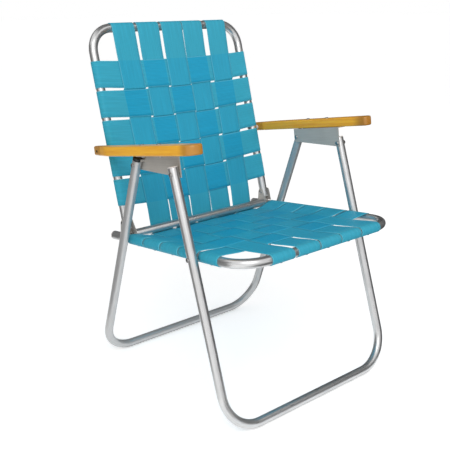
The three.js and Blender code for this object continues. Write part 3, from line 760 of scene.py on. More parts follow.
@dataclass(frozen=True)
class BentTube:
    """A tube bent to a flat U whose bar lies on y = 0, with its legs towards +y."""

    half_width: float  # from the middle to a leg's axis
    length: float  # from the bar's axis to the legs' ends
    bend: float  # the bends' radius
    sides: int = 32
    leg_steps: int = 6
    bar_steps: int = 5
    bend_steps: int = 16
    end_depth: float = 0.009  # how far the open ends are hollow

    def build(self, frame: SideFrame) -> BMesh:
        """Draw the tube through its bends and put it in its frame.

        Args:
            frame: The frame that the U lies in.

        Returns:
            The tube, with its wall showing at both ends.
        """
        mesh = bmesh.new()
        start = Matrix.Translation((-self.half_width, self.length, 0.0)) @ ALONG
        bmesh.ops.create_circle(mesh, segments=self.sides, radius=TUBE_RADIUS, matrix=start)
        leg = Vector((0.0, self.length - self.bend, 0.0))
        half_bar = self.half_width - self.bend
        ring = pull(mesh, mesh.edges[:], -leg, self.leg_steps)
        ring = self._bend(mesh, ring, -half_bar)
        ring = pull(mesh, ring, Vector((2.0 * half_bar, 0.0, 0.0)), self.bar_steps)
        ring = self._bend(mesh, ring, half_bar)
        pull(mesh, ring, leg, self.leg_steps)
        bmesh.ops.recalc_face_normals(mesh, faces=mesh.faces)
        self._lip(mesh)
        self._straighten(mesh)
        return placed(mesh, frame.matrix())

    def _bend(self, mesh: BMesh, ring: list[BMEdge], centre_x: float) -> list[BMEdge]:
        """Spin the ring through a quarter turn.

        Args:
            mesh: The bmesh.
            ring: The edges of the last ring.
            centre_x: The bend's centre across the chair.

        Returns:
            The edges of the new last ring.
        """
        points = list({vert for edge in ring for vert in edge.verts})
        spun = bmesh.ops.spin(
            mesh, geom=points + ring, cent=(centre_x, self.bend, 0.0), axis=(0.0, 0.0, 1.0),
            angle=math.pi / 2.0, steps=self.bend_steps,
        )
        return only(BMEdge, spun["geom_last"])

    def _lip(self, mesh: BMesh) -> None:
        """Turn both open ends in by the wall and close them a little way down.

        Args:
            mesh: The tube.
        """
        share = 1.0 - TUBE_WALL / TUBE_RADIUS
        for side in (-1.0, 1.0):
            centre = Vector((side * self.half_width, self.length, 0.0))
            ends = [edge for edge in mesh.edges if edge.is_boundary and edge.verts[0].co.x * side > 0.0]
            rim = bmesh.ops.extrude_edge_only(mesh, edges=ends)["geom"]
            bmesh.ops.scale(
                mesh, vec=(share, 1.0, share), space=Matrix.Translation(-centre), verts=only(BMVert, rim)
            )
            inner = pull(mesh, only(BMEdge, rim), Vector((0.0, -self.end_depth, 0.0)))
            bmesh.ops.edgeloop_fill(mesh, edges=inner)
        bmesh.ops.recalc_face_normals(mesh, faces=mesh.faces)

    def _straighten(self, mesh: BMesh) -> None:
        """Keep each point's place on the tube before bending, for streaks that follow the bends.

        Args:
            mesh: The tube.
        """
        layer = mesh.verts.layers.float_vector.new("straight")
        half_bar = self.half_width - self.bend
        for vert in mesh.verts:
            x, y, off = vert.co
            beside = abs(x) - half_bar
            if y > self.bend:
                outward, run = abs(x) - self.half_width, self.bend * math.pi / 2.0 + y - self.bend
            elif beside < 0.0:
                outward, run = -y, beside
            else:
                outward = math.hypot(beside, self.bend - y) - self.bend
                run = self.bend * math.atan2(beside, self.bend - y)
            vert[layer] = Vector((outward, off, math.copysign(half_bar + run, x)))


@dataclass(frozen=True)
class StraightTube:
    """A straight tube across the chair with closed, eased ends."""

    half_length: float  # from the middle to an end
    sides: int = 32
    easing: float = 0.0008

    def build(self, place: Matrix) -> BMesh:
        """Make the tube.

        Args:
            place: Where its middle goes.

        Returns:
            The closed tube.
        """
        mesh = bmesh.new()
        start = Matrix.Translation((-self.half_length, 0.0, 0.0)) @ Matrix.Rotation(math.pi / 2.0, 4, "Y")
        bmesh.ops.create_circle(mesh, cap_ends=True, segments=self.sides, radius=TUBE_RADIUS, matrix=start)
        made = bmesh.ops.extrude_face_region(mesh, geom=mesh.faces[:])["geom"]
        bmesh.ops.translate(mesh, verts=only(BMVert, made), vec=(2.0 * self.half_length, 0.0, 0.0))
        bmesh.ops.recalc_face_normals(mesh, faces=mesh.faces)
        bevel(mesh, sharp(mesh, RIM_ANGLE), self.easing, 3)
        layer = mesh.verts.layers.float_vector.new("straight")
        for vert in mesh.verts:
            vert[layer] = Vector((vert.co.y, vert.co.z, vert.co.x))
        return placed(mesh, place)


@dataclass(frozen=True)
class TubePlug:
    """A plug or cap in a tube's end."""

    height: float  # how far it stands out of the tube
    round: float  # the rounding of its outer rim
    crown: float = 0.0004  # how far its top swells

    def build(self, place: Matrix) -> BMesh:
        """Turn the plug.

        Args:
            place: The tube's end, with the tube along local y.

        Returns:
            The closed plug.
        """
        stub = TUBE_RADIUS - TUBE_WALL - FIT
        top = FIT + self.height
        turn = [math.radians(18.0 * step) for step in range(6)]
        rim = [
            (FACET_RADIUS - self.round * (1.0 - math.cos(a)), top - self.round * (1.0 - math.sin(a))) for a in turn
        ]
        profile = [
            (0.0, -PLUG_DEPTH), (stub - RIM_EASE, -PLUG_DEPTH), (stub, RIM_EASE - PLUG_DEPTH), (stub, FIT),
            (FACET_RADIUS - PLUG_EASE, FIT), (FACET_RADIUS, FIT + PLUG_EASE), *rim,
            (0.6 * FACET_RADIUS, top + self.crown / 2.0), (0.0, top + self.crown),
        ]
        return turned(profile, place @ ALONG, 32)


FLANGED_PLUG = TubePlug(0.0025, 0.001)
LEG_CAP = TubePlug(0.008, 0.003)
SEAT_PLUG = TubePlug(0.0045, 0.002)


@dataclass(frozen=True)
class Assembly:
    """A sub-assembly of the chair."""

    shop: Workshop


@dataclass(frozen=True)
class LegFrames(Assembly):
    """The front and rear leg tubes with their plugs, caps and the seat's pivot bolts."""

    bend: float = 0.09  # the radius of the floor bars' corners
    front_length: float = 0.6095  # the front legs, from the floor bar's axis to their tops
    rear_length: float = 0.611399  # the same of the rear legs

    def build(self) -> None:
        """Make the legs and what is fixed to them."""
        front = BentTube(LEG_X, self.front_length, self.bend).build(FRONT_FRAME)
        self.shop.piece("front_leg_tube", front, Slot.TUBE, Body.FRONT_LEGS, ["front_leg_frame"])
        rear = BentTube(LEG_X, self.rear_length, self.bend).build(REAR_FRAME)
        rear_tube = self.shop.piece("rear_leg_tube", rear, Slot.TUBE, Body.REAR_LEGS, ["rear_leg_frame"])
        rear_tube.data.materials[0] = self.shop.finishes.dulled_tube
        for side in Side:
            plug = FLANGED_PLUG.build(FRONT_FRAME.at(side.value * LEG_X, self.front_length, 0.0))
            self.shop.piece(f"{side}_front_leg_plug", plug, Slot.PALE, Body.FRONT_LEGS, [f"front_leg_plug_{side}"])
            cap = LEG_CAP.build(REAR_FRAME.at(side.value * LEG_X, self.rear_length, 0.0))
            self.shop.piece(f"{side}_rear_leg_cap", cap, Slot.BLACK, Body.REAR_LEGS, [f"rear_leg_cap_{side}"])
            axis = across(side, SEAT_PIVOT.matrix())
            self.shop.fastening(f"{side}_seat_bolt", self._bolt(), axis, Body.FRONT_LEGS, f"seat_pivot_bolt_{side}")

    @staticmethod
    def _bolt() -> Profile:
        """Give the seat bolt's profile, with the collar that keeps the seat off the leg.

        Returns:
            Radius and place pairs.
        """
        low, high = SEAT_X + STRAP_OUTER + FIT, LEG_X - FACET_RADIUS - FIT
        collar = [(PIN_RADIUS, low), (HEAD_RADIUS, low), (HEAD_RADIUS, high), (PIN_RADIUS, high)]
        pin = rivet(SEAT_X - FACET_RADIUS - FIT, LEG_X + FACET_RADIUS + FIT)
        middle = len(pin) // 2
        return [*pin[:middle], *collar, *pin[middle:]]


@dataclass(frozen=True)
class Arms(Assembly):
    """The wooden arms, their brackets and the fastenings on them."""

    rise: float = 0.0426  # from the front leg's pivot to a board's underside
    front: float = 0.099  # how far a board reaches ahead of that pivot
    rear: float = 0.335122  # how far it reaches behind it
    width: float = 0.0375
    thickness: float = 0.0234
    nose: float = 0.024  # the round of the outer front corner
    corner: float = 0.008  # the round of the inner corners
    taper_length: float = 0.09  # the length of the cut on the outer side at the rear
    taper_width: float = 0.022  # the width of that cut
    taper_rounds: Pair = (0.012, 0.003)  # the rounds where that cut starts and ends
    easing: float = 0.004
    screw_x: float = 0.273312  # where the coach screws stand across the chair
    screw_places: Pair = (0.044838, 0.11359)  # where they stand along a board
    cover_end: float = 0.28216  # how far out the black cap reaches, which paints the shade of the hole at the back screw's end
    cover_radii: Pair = (0.0034, 0.0026)  # that cap's radius at its foot and at its end

    def build(self) -> None:
        """Make both arms."""
        for side in Side:
            self.shop.piece(f"{side}_arm_board", self._board(side), Slot.WOOD, Body.ARMS, [f"armrest_{side}"])
            self.shop.sheet_metal(f"{side}_bracket", Body.ARMS, f"arm_bracket_{side}")
            self._fasten(side)

    def _fasten(self, side: Side) -> None:
        """Make one side's rivets, screws and spacer, and the black cap that paints the shade of the hole at the back
        screw's end.

        Args:
            side: The side.
        """
        for along, end in zip(self.screw_places, ("front", "rear")):
            place = ARM_FRAME.at(side.value * self.screw_x, along, self.rise)
            label = f"{side}_{end}_coach_screw"
            self.shop.fastening(label, self._coach_screw(), place, Body.ARMS, f"arm_screw_{end}_{side}")
        pin = rivet(BRACKET_INNER - FIT, LEG_X + FACET_RADIUS + FIT)
        for pivot, end in ((LEG_PIVOT, "front"), (REAR_PIVOT, "rear")):
            place = across(side, pivot.matrix())
            self.shop.fastening(f"{side}_{end}_rivet", pin, place, Body.ARMS, f"{end}_leg_rivet_{side}")
        axis = across(side, ARM_PIVOT.matrix())
        self.shop.fastening(f"{side}_back_screw", self._back_screw(), axis, Body.ARMS, f"back_pivot_screw_{side}")
        spacer = turned(self._spacer(), axis)
        self.shop.piece(f"{side}_back_spacer", spacer, Slot.PALE, Body.ARMS, [f"back_pivot_spacer_{side}"])
        # The cap is black to paint the shade of the hole round the back screw's end.
        self.shop.piece(f"{side}_screw_cover", turned(self._cover(), axis), Slot.BLACK, Body.ARMS)

    @staticmethod
    def _back_screw() -> Profile:
        """Give the profile of the screw that the back turns on.

        Returns:
            Radius and place pairs.
        """
        head, tip = BACK_X - FACET_RADIUS - FIT, ARM_INNER + ARM_SCREW_DEPTH
        dome_part = dome(SMALL_HEAD_RADIUS, HEAD_HEIGHT, head, -1)[::-1]
        return [*dome_part, (SCREW_RADIUS, head), (SCREW_RADIUS, tip), (0.0, tip + ARM_SCREW_POINT)]

    @staticmethod
    def _spacer() -> Profile:
        """Give the profile of the spacer between the back and the arm.

        Returns:
            Radius and place pairs.
        """
        low, high = ARM_INNER - FIT - SPACER_LENGTH, ARM_INNER - FIT
        rim = SPACER_RADIUS - SPACER_EASE
        return [
            (SPACER_BORE, low), (rim, low), (SPACER_RADIUS, low + SPACER_EASE), (SPACER_RADIUS, high - SPACER_EASE),
            (rim, high), (SPACER_BORE, high), (SPACER_BORE, low),
        ]

    def _cover(self) -> Profile:
        """Give the profile of the black cap at the back screw's end, which paints the shade of the hole there.

        Returns:
            Radius and place pairs.
        """
        start, (foot, tip) = ARM_INNER + self.width - self.taper_width, self.cover_radii
        rim = self.cover_end - RIM_EASE
        return [(0.0, start), (foot, start), (foot, rim), (tip, self.cover_end), (0.0, self.cover_end)]

    def _coach_screw(self) -> Profile:
        """Give a coach screw's profile with its nut, from the board's underside.

        Returns:
            Radius and height pairs.
        """
        under = -FIT - PLATE - FIT
        low, over = under - HEAD_HEIGHT, self.thickness + FIT
        return [
            (0.0, low), (SMALL_HEAD_RADIUS - RIM_EASE, low), (SMALL_HEAD_RADIUS, low + RIM_EASE),
            (SMALL_HEAD_RADIUS, under), (SCREW_RADIUS, under), (SCREW_RADIUS, over),
            *dome(HEAD_RADIUS, COACH_HEAD_HEIGHT, over),
        ]

    def _board(self, side: Side) -> BMesh:
        """Make one arm: a board with a round nose, a cut at the rear and eased edges.

        Args:
            side: The side of the chair.

        Returns:
            The closed board.
        """
        inner, outer = side.value * ARM_INNER, side.value * (ARM_INNER + self.width)
        cut = side.value * (ARM_INNER + self.width - self.taper_width)
        start, end = self.taper_rounds
        corners = [
            (inner, -self.front, self.corner), (outer, -self.front, self.nose),
            (outer, self.rear - self.taper_length, start), (cut, self.rear, end), (inner, self.rear, self.corner),
        ]
        mesh = bmesh.new()
        face = mesh.faces.new([mesh.verts.new((x, y, self.rise)) for x, y, _ in corners])
        made = bmesh.ops.extrude_face_region(mesh, geom=[face])["geom"]
        bmesh.ops.translate(mesh, verts=only(BMVert, made), vec=(0.0, 0.0, self.thickness))
        for x, y, radius in corners:
            upright = [
                edge for edge in mesh.edges
                if all(math.hypot(vert.co.x - x, vert.co.y - y) < 1e-6 for vert in edge.verts)
            ]
            bevel(mesh, upright, radius, 8)
        bmesh.ops.recalc_face_normals(mesh, faces=mesh.faces)
        bevel(mesh, sharp(mesh, RIM_ANGLE), self.easing, 4)
        return placed(mesh, ARM_FRAME.matrix())


@dataclass(frozen=True)
class PathPoint:
    """A point on a strap's path."""

    place: float  # its place along the strap's run
    height: float  # its height off the panel's face
    doubled: float = 0.0  # painted shade: 1 where another strap lies on it, less where that shows less
    shift: float = 0.0  # how far the strap's middle strays across its run there
    skew: float = 0.0  # how much the strap's points move along its run with their place across it
    spread: float = 1.0  # how much wider than usual the strap is there


def arc(centre: Pair, radius: float, first: float, last: float) -> list[PathPoint]:
    """Run a path round a tube.

    Args:
        centre: The tube's axis.
        radius: The path's radius.
        first: Where it starts, in degrees.
        last: Where it ends.

    Returns:
        The points of the arc.
    """
    steps = max(2, round(abs(last - first) / 10.0))
    angles = [math.radians(first + (last - first) * step / steps) for step in range(steps + 1)]
    return [PathPoint(centre[0] + radius * math.cos(a), centre[1] + radius * math.sin(a)) for a in angles]


def path_length(path: Sequence[PathPoint]) -> float:
    """Measure a strap's path."""
    return sum(math.hypot(b.place - a.place, b.height - a.height) for a, b in zip(path, path[1:]))


class Run(Enum):
    """Which way a strap runs on its panel."""

    COLUMN = "column"
    ROW = "row"


@dataclass(frozen=True)
class Panel:
    """A woven panel: straps along a frame and straps across it."""

    frame: SideFrame
    face: int  # 1 where the straps lie on the frame's upper side, -1 on the other
    tube_x: float  # the side tubes' places
    columns: tuple[float, ...]  # the places across of the straps that run along
    rows: tuple[float, ...]  # the places along of the straps that run across
    fall: Pair  # where the long straps' straight fall ends, along and off
    row_widths: tuple[float, ...]  # the widths of the straps that run across
    drifts: tuple[float, ...] = (0.0, 0.0, 0.0, 0.0, 0.0)  # how far each long strap strays across, for each metre along
    sag: float = 0.0  # how far the straps across sag in their middle
    spread: float = 0.0  # by what share the straps across are wider in their middle
    backing: float = 0.0  # the painted shade on a single strap, where 1 is as dark as two layers

    def lay(
        self,
        shop: Workshop,
        run: Run,
        names: tuple[str, str],
        body: Body | None,
        rests: list[str],
        tail: list[PathPoint] | None = None,
    ) -> list[Object]:
        """Make all the straps of one run.

        Args:
            shop: The workshop that makes pieces.
            run: Which way the straps run.
            names: How the names of the pieces and of their CAD nodes start.
            body: The body that carries them, or none.
            rests: The pieces that they are stretched over; not used.
            tail: Where straps along the panel end.

        Returns:
            The straps.
        """
        straps = []
        along = run is Run.COLUMN
        for number, centre in enumerate(self.columns if along else self.rows):
            path = self._column_path(number, tail) if along else self._row_path(number)
            width = STRAP_WIDTH if along else self.row_widths[number]
            piece, node = (f"{name}_{number + 1}" for name in names)
            mesh = self._ribbon(path, centre, run, width)
            strap = shop.piece(piece, mesh, Slot.WEBBING, body, [node], STRAP_CREASE)
            thickness = strap.modifiers.new("thickness", "SOLIDIFY")
            thickness.thickness = STRAP_BODY
            thickness.offset = 0.0
            straps.append(strap)
        return straps

    def _height(self, along: float) -> float:
        """Give the height of the straps' straight fall."""
        return STRAP_WRAP + (self.fall[1] - STRAP_WRAP) * along / self.fall[0]

    def _column_at(self, column: int, along: float) -> float:
        """Give a long strap's place across at a place along."""
        return self.columns[column] + self.drifts[column] * along

    def _middling(self, x: float) -> float:
        """Give 1 in the middle of a strap across and 0 at the side tubes."""
        return 1.0 - (x / self.tube_x) ** 2

    def _column_path(self, column: int, tail: list[PathPoint]) -> list[PathPoint]:
        """Run a strap round its rail, over and under the rows and on to its tail.

        Args:
            column: The strap's number.
            tail: The points of its tail.

        Returns:
            The whole path.
        """
        crossings = []
        for row, place in enumerate(self.rows):
            x = self._column_at(column, place)
            along = place + self.sag * self._middling(x)
            skew = -2.0 * self.sag * x / self.tube_x**2
            half = self.row_widths[row] / 2.0 * (1.0 + self.spread * self._middling(x))
            # 0.5: lighter painted shade where a column lies over a row, as its ribs catch the light differently.
            middle = PathPoint(along, self._height(along) + self._over(column, row), 0.5, skew=skew)
            crossings.append((middle, half))
        path = self._woven(arc((0.0, 0.0), STRAP_WRAP, *RAIL_TURN), crossings, ROW_EASE, tail)
        return [replace(point, shift=self.drifts[column] * point.place) for point in path]

    def _row_path(self, row: int) -> list[PathPoint]:
        """Run a strap round one side tube, over and under the columns and round the other.

        Args:
            row: The strap's number.

        Returns:
            The whole path.
        """
        crossings = []
        for column, drift in enumerate(self.drifts):
            x = self._column_at(column, self.rows[row])
            height = self._height(self.rows[row] + self.sag * self._middling(x)) - self._over(column, row)
            # 1.0: full painted shade where a row lies over a column, as its ribs catch the light differently.
            crossings.append((PathPoint(x, height, 1.0, skew=drift), STRAP_WIDTH / 2.0))
        first = arc((-self.tube_x, 0.0), STRAP_WRAP, 180.0 + SIDE_TURN, 180.0 - SIDE_REST)
        last = arc((self.tube_x, 0.0), STRAP_WRAP, SIDE_REST, -SIDE_TURN)
        path = []
        for point in self._woven(first, crossings, COLUMN_EASE, last):
            share = self._middling(point.place)
            path.append(replace(point, shift=self.sag * share, spread=1.0 + self.spread * share))
        return path

    @staticmethod
    def _over(column: int, row: int) -> float:
        """Give how far a column passes over, or under, a row."""
        return OVER_UNDER if (column + row) % 2 == 0 else -OVER_UNDER

    def _woven(
        self, first: list[PathPoint], crossings: Sequence[tuple[PathPoint, float]], ease: float, last: list[PathPoint]
    ) -> list[PathPoint]:
        """Join a start, level crossings and a tail into one path, eased between its stretches.

        Args:
            first: The points of the start.
            crossings: The middle of each crossing and half the width of the strap that is crossed.
            ease: How far the path stays level past that strap's edges.
            last: The points of the tail.

        Returns:
            The whole path, with painted shade where two straps lie on each other.
        """
        # single: the painted shade on one layer of strap.
        stretches, single = [], self.backing
        for middle, half in crossings:
            edge, double = half - SHADE_EASE, max(middle.doubled, single)
            level = [(by, double) for by in (-edge, -half / 2.0, 0.0, half / 2.0, edge)]
            level = [(-half - ease, single), (-half, single), *level, (half, single), (half + ease, single)]
            stretches.append([replace(middle, place=middle.place + by, doubled=dark) for by, dark in level])
        path = [*first]
        for stretch in (*stretches, last):
            start, end = path[-1], stretch[0]
            for share in (0.2, 0.4, 0.6, 0.8):
                eased = share * share * (3.0 - 2.0 * share)
                place = start.place + (end.place - start.place) * share
                height = start.height + (end.height - start.height) * eased
                skew = start.skew + (end.skew - start.skew) * share
                path.append(PathPoint(place, height, single, skew=skew))
            path.extend(stretch)
        return path

    def _ribbon(self, path: Sequence[PathPoint], centre: float, run: Run, width: float) -> BMesh:
        """Draw a strap's width along its path.

        Args:
            path: The strap's path.
            centre: The place of its middle across the run.
            run: Which way it runs.
            width: The strap's width.

        Returns:
            The sheet, with its straightened places and the painted shade where straps lie two deep kept.
        """
        mesh = bmesh.new()
        straight = mesh.verts.layers.float_vector.new("straight")
        doubled = mesh.verts.layers.float.new("doubled")
        widths = [width * (step / 8.0 - 0.5) for step in range(9)]
        row = [mesh.verts.new() for _ in widths]
        edges = [mesh.edges.new(pair) for pair in zip(row, row[1:])]
        axis = 0 if run is Run.COLUMN else 1
        length = 0.0
        for before, point in zip((path[0], *path), path):
            length += path_length((before, point))
            if point is not path[0]:
                edges = only(BMEdge, bmesh.ops.extrude_edge_only(mesh, edges=edges)["geom"])
                row = sorted({vert for edge in edges for vert in edge.verts}, key=lambda vert: vert.co[axis])
            for vert, beside in zip(row, widths):
                aside, along = centre + point.shift + point.spread * beside, point.place + point.skew * beside
                place = Vector((aside, along, self.face * point.height))
                vert.co = place if run is Run.COLUMN else place.yxz
                vert[straight] = Vector((beside, 0.0, length))
                vert[doubled] = point.doubled
        bmesh.ops.recalc_face_normals(mesh, faces=mesh.faces)
        return placed(mesh, self.frame.matrix())


def strap_screws(places: Sequence[Matrix]) -> BMesh:
    """Make the small domed screws that fix the ends of straps.

    Args:
        places: Each screw's seat, with local z pointing out of the strap.

    Returns:
        All of them in one mesh.
    """
    shank = STRAP_SCREW_SHANK
    profile = [(0.0, -STRAP_SCREW_DEPTH), (shank, -STRAP_SCREW_DEPTH), (shank, 0.0), *dome(*STRAP_SCREW_HEAD, 0.0)]
    whole = bmesh.new()
    for place in places:
        head = turned(profile, place, 12)
        part = bpy.data.meshes.new("screw")
        head.to_mesh(part)
        head.free()
        whole.from_mesh(part)
        bpy.data.meshes.remove(part)
    return whole


@dataclass(frozen=True)
class Seat(Assembly):
    """The seat: its tube, crossbar, hinge clips and woven straps."""

    length: float = 0.51496  # the tube, from the front rail's axis to its rear ends
    bend: float = 0.07  # the radius of the front corners
    clip_along: float = 0.460362  # the hinge clips' places along the tube
    crossbar: Pair = (0.448962, 0.0085)  # the crossbar's axis, along and off the seat
    bolt_depth: float = 0.012  # how far the crossbar's bolts reach into it
    rivet_depth: float = 0.0025  # how far the clips' rivets reach into the tube
    tail_turn: Pair = (264.0, 345.0)  # where the straps meet and leave the crossbar, in degrees
    screw_lean: float = -150.0  # the turn of the strap screws on the crossbar
    screw_lift: float = 0.0013  # how far those stand off the last layer of strap
    panel: Panel = Panel(
        SEAT_FRAME, 1, SEAT_X, (-0.1437, -0.0647, 0.0063, 0.0763, 0.1473),
        (0.112505, 0.186618, 0.258486, 0.331476, 0.403345), (0.448962, 0.0085 - STRAP_WRAP),
        # The seat's single straps carry painted shade, half as dark as two layers.
        (0.06549, 0.067735, 0.06998, 0.06998, 0.067735), backing=0.5,
    )

    def build(self) -> None:
        """Make the seat."""
        tube = BentTube(SEAT_X, self.length, self.bend).build(SEAT_FRAME)
        self.shop.piece("seat_tube", tube, Slot.TUBE, Body.SEAT, ["seat_frame"])
        bar = StraightTube(EAR_INNER - PLATE - FIT).build(SEAT_FRAME.at(0.0, *self.crossbar))
        self.shop.piece("seat_rear_bar", bar, Slot.TUBE, Body.SEAT, ["seat_crossbar"])
        for side in Side:
            self._fasten(side)
        self._weave()

    def _fasten(self, side: Side) -> None:
        """Make one side's plug, clip, rivet, hinge pin and bolt.

        Args:
            side: The side.
        """
        plug = SEAT_PLUG.build(SEAT_FRAME.at(side.value * SEAT_X, self.length, 0.0))
        self.shop.piece(f"{side}_seat_plug", plug, Slot.PALE, Body.SEAT, [f"seat_plug_{side}"])
        self.shop.sheet_metal(f"{side}_back_clip", Body.SEAT, f"hinge_clip_{side}")
        pin, axis = rivet(EAR_INNER - PLATE - FIT, EAR_OUTER + PLATE + FIT), across(side, HINGE_PIVOT.matrix())
        self.shop.fastening(f"{side}_back_pin", pin, axis, Body.SEAT, f"back_hinge_pin_{side}")
        over, under = PLATE + FIT, -self.rivet_depth
        shank = [(0.0, under), (SCREW_RADIUS, under), (SCREW_RADIUS, over)]
        shank += dome(SMALL_HEAD_RADIUS, CLIP_HEAD_HEIGHT, over)
        place = SEAT_FRAME.at(side.value * SEAT_X, self.clip_along, FACET_RADIUS + FIT)
        self.shop.fastening(f"{side}_clip_rivet", shank, place, Body.SEAT, f"hinge_rivet_{side}")
        ear = EAR_INNER + FIT
        inner = ear - self.bolt_depth
        bolt = [(0.0, inner), (PIN_RADIUS, inner), (PIN_RADIUS, ear), *dome(HEAD_RADIUS, HEAD_HEIGHT, ear)]
        axis = across(side, SEAT_FRAME.at(0.0, *self.crossbar))
        self.shop.fastening(f"{side}_rear_bar_bolt", bolt, axis, Body.SEAT, f"crossbar_bolt_{side}")

    def _weave(self) -> None:
        """Make the seat's straps and their screws."""
        tail = arc(self.crossbar, STRAP_WRAP, *self.tail_turn)
        names = ("seat_webbing_long", "seat_strap_long")
        self.panel.lay(self.shop, Run.COLUMN, names, Body.SEAT, ["seat_tube", "seat_rear_bar"], tail)
        self.panel.lay(self.shop, Run.ROW, ("seat_webbing_cross", "seat_strap_cross"), Body.SEAT, ["seat_tube"])
        down = Matrix.Rotation(math.pi, 4, "X")
        seats = [(x, 0.0) for x in self.panel.columns]
        seats += [(side.value * SEAT_X, y) for y in self.panel.rows for side in Side]
        places = [SEAT_FRAME.at(x, y, -STRAP_OUTER) @ down for x, y in seats]
        lean = Matrix.Rotation(math.radians(self.screw_lean), 4, "X")
        lift = Matrix.Translation((0.0, 0.0, STRAP_OUTER + self.screw_lift))
        places += [SEAT_FRAME.at(x, *self.crossbar) @ lean @ lift for x in self.panel.columns]
        self.shop.piece("seat_strap_screws", strap_screws(places), Slot.STEEL, Body.SEAT)


@dataclass(frozen=True)
class Back(Assembly):
    """The back: its tube, plugs and woven straps."""

    length: float = 0.504  # the tube, from the top bar's axis to its lower ends
    bend: float = 0.06  # the radius of the top corners
    crossbar: Pair = (0.523117, -0.009013)  # the seat's crossbar, along and off the back
    strap_behind: float = 0.013488  # how far behind the crossbar's axis the straps pass
    tail_turn: Pair = (270.0, 360.0)  # where they meet and leave it, in degrees
    fold: Pair = (0.024, -0.03)  # where the straps would start and stop to bend, down along the back from the hinge
    panel: Panel = Panel(
        BACK_FRAME, -1, BACK_X, (-0.147, -0.071, 0.005, 0.074, 0.157),
        (0.11575, 0.19025, 0.26475, 0.33925, 0.41375), (0.523117, -0.004475), (STRAP_WIDTH,) * 5,
        (0.027561, 0.015749, 0.001969, 0.001969, -0.010828), 0.008, 0.08,
    )

    def build(self) -> None:
        """Make the back."""
        tube = BentTube(BACK_X, self.length, self.bend).build(BACK_FRAME)
        self.shop.piece("back_tube", tube, Slot.TUBE, Body.BACK, ["back_frame"])
        for side in Side:
            plug = FLANGED_PLUG.build(BACK_FRAME.at(side.value * BACK_X, self.length, 0.0))
            self.shop.piece(f"{side}_back_plug", plug, Slot.PALE, Body.BACK, [f"back_plug_{side}"])
        self._weave()

    def _weave(self) -> None:
        """Make the back's straps, which end under the seat's crossbar."""
        tail = arc((self.crossbar[0], -self.crossbar[1]), self.strap_behind, *self.tail_turn)
        names = ("back_webbing_vertical", "back_strap_vertical")
        for strap in self.panel.lay(self.shop, Run.COLUMN, names, None, ["back_tube", "seat_rear_bar"], tail):
            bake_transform(strap)
        self.panel.lay(self.shop, Run.ROW, ("back_webbing_row", "back_strap_row"), Body.BACK, ["back_tube"])
        places = [BACK_FRAME.at(x, 0.0, STRAP_OUTER) for x in self.panel.columns]
        places += [BACK_FRAME.at(side.value * BACK_X, y, STRAP_OUTER) for y in self.panel.rows for side in Side]
        self.shop.piece("back_strap_screws", strap_screws(places), Slot.STEEL, Body.BACK)


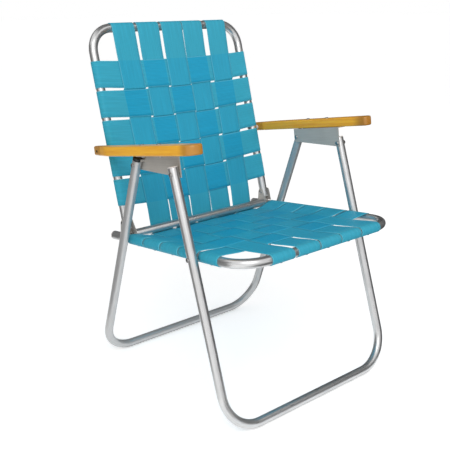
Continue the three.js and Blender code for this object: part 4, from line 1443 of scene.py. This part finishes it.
@dataclass(frozen=True)
class Studio:
    """The camera, the light and the pale floor."""

    eye: tuple[float, float, float] = (-1.1620, -1.3284, 0.9369)
    yaw: float = -39.9  # the camera's turn from the rear, to the picture's left
    pitch: float = 17.4  # how far it looks down
    roll: float = -0.5  # its turn about its own axis
    lens: float = 57.1  # its focal length
    sensor: float = 36.0
    ambient: float = 0.62  # the world's light on the object
    floor_size: float = 40.0
    floor_tone: float = 0.92
    floor_lift: float = 0.4  # how much brighter the floor shows than it is lit
    aim: tuple[float, float, float] = (0.0, 0.0, 0.45)  # what the lamps point at

    def build(self) -> None:
        """Set up the whole studio."""
        bpy.context.scene.view_settings.view_transform = "Standard"
        self._camera()
        self._world()
        self._floor()
        self._lamp("key_light", (-1.9, -2.2, 2.6), 1.8, 46.0)
        self._lamp("fill_light", (2.4, -1.2, 1.9), 2.2, 16.0)
        self._flag("left_flag", (-2.1, 0.3, 0.0), (-2.098, 2.3, 2.0), 0.2)
        self._flag("rear_flag", (-2.0, 1.9, 0.0), (2.4, 1.902, 2.6), 0.15)
        self._flag("right_flag", (1.7, -3.5, 0.0), (1.702, 1.9, 2.6), 0.015)
        self._flag("top_flag", (-0.6, -1.2, 3.2), (2.6, 2.6, 3.202), 0.08)
        self._flag("left_floor_flag", (-2.4, -0.1, 0.001), (-0.45, 1.9, 0.003), 0.22)
        self._flag("front_floor_flag", (-0.48, -2.8, 0.001), (2.6, -0.5, 0.003), 0.015)
        self._flag("right_floor_flag", (0.33, -0.5, 0.001), (2.6, 1.9, 0.003), 0.015)

    def _camera(self) -> None:
        """Put the camera where the photograph was taken."""
        camera = linked("camera", bpy.data.cameras.new("camera"))
        camera.data.lens = self.lens
        camera.data.sensor_width = self.sensor
        place = Matrix.Translation(self.eye)
        for degrees, axis in ((self.yaw, "Z"), (90.0 - self.pitch, "X"), (self.roll, "Z")):
            place = place @ Matrix.Rotation(math.radians(degrees), 4, axis)
        camera.matrix_world = place
        bpy.context.scene.camera = camera

    def _world(self) -> None:
        """Show white to the camera and to reflections, and light the object softly."""
        world = bpy.data.worlds.new("studio")
        bpy.context.scene.world = world
        world.use_nodes = True
        sheet = NodeSheet(world.node_tree)
        background = next(node for node in world.node_tree.nodes if node.type == "BACKGROUND")
        sheet.feed(background.inputs["Color"], sheet.mix(self._seen(sheet), grey(self.ambient), grey(1.0)))

    @staticmethod
    def _seen(sheet: NodeSheet) -> NodeSocket:
        """Give 1 to rays that end in the picture, and 0 to those that only light the object.

        Args:
            sheet: The node sheet of the world or the floor.

        Returns:
            The value's socket.
        """
        path = sheet.add("ShaderNodeLightPath").outputs
        seen = sheet.math("MAXIMUM", path["Is Camera Ray"], path["Is Glossy Ray"])
        return sheet.math("MAXIMUM", seen, path["Is Transmission Ray"])

    def _floor(self) -> None:
        """Lay the pale floor, which stays white to the camera and keeps the shadow."""
        mesh = bmesh.new()
        under = Matrix.Translation((0.0, 0.0, FRONT_FRAME.z - TUBE_RADIUS))
        bmesh.ops.create_grid(mesh, x_segments=1, y_segments=1, size=self.floor_size, matrix=under)
        pale = Surface("pale_floor", Roughness=0.9, Emission_Strength=1.0, Base_Color=grey(self.floor_tone))
        lift = pale.mix(self._seen(pale), grey(0.0), grey(self.floor_lift))
        pale.feed(pale.shader.inputs["Emission Color"], lift)
        solid("floor", mesh, pale.material)

    def _lamp(self, name: str, place: tuple[float, float, float], size: float, power: float) -> None:
        """Hang a soft lamp that points at the chair.

        Args:
            name: The lamp's name.
            place: Where it hangs.
            size: The side of its square.
            power: Its power in watts.
        """
        lamp = linked(name, bpy.data.lights.new(name, "AREA"))
        lamp.data.size = size
        lamp.data.energy = power
        turn = (Vector(self.aim) - Vector(place)).to_track_quat("-Z", "Y")
        lamp.matrix_world = Matrix.Translation(place) @ turn.to_matrix().to_4x4()

    @staticmethod
    def _flag(name: str, low: Sequence[float], high: Sequence[float], tone: float) -> None:
        """Set out a dark card that only reflections see, as on a photographer's table.

        Args:
            name: The card's name.
            low: Its lowest corner.
            high: Its highest corner.
            tone: How grey it is.
        """
        mesh = bmesh.new()
        start, end = Vector(low), Vector(high)
        size = Matrix.Diagonal((*(end - start), 1.0))
        bmesh.ops.create_cube(mesh, size=1.0, matrix=Matrix.Translation((start + end) / 2.0) @ size)
        card = solid(name, mesh, Surface(name, Roughness=1.0, Base_Color=grey(tone)).material)
        for rays in ("camera", "diffuse", "transmission", "volume_scatter", "shadow"):
            setattr(card, f"visible_{rays}", False)


def main() -> None:
    """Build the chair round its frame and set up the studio."""
    logging.basicConfig(level=logging.INFO, format="%(name)s: %(message)s")
    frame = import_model()
    Studio().build()
    shop = Workshop(frame)
    for assembly in (LegFrames(shop), Seat(shop), Back(shop), Arms(shop)):
        assembly.build()
        LOG.info("%s done", type(assembly).__name__)


if __name__ == "__main__":
    main()
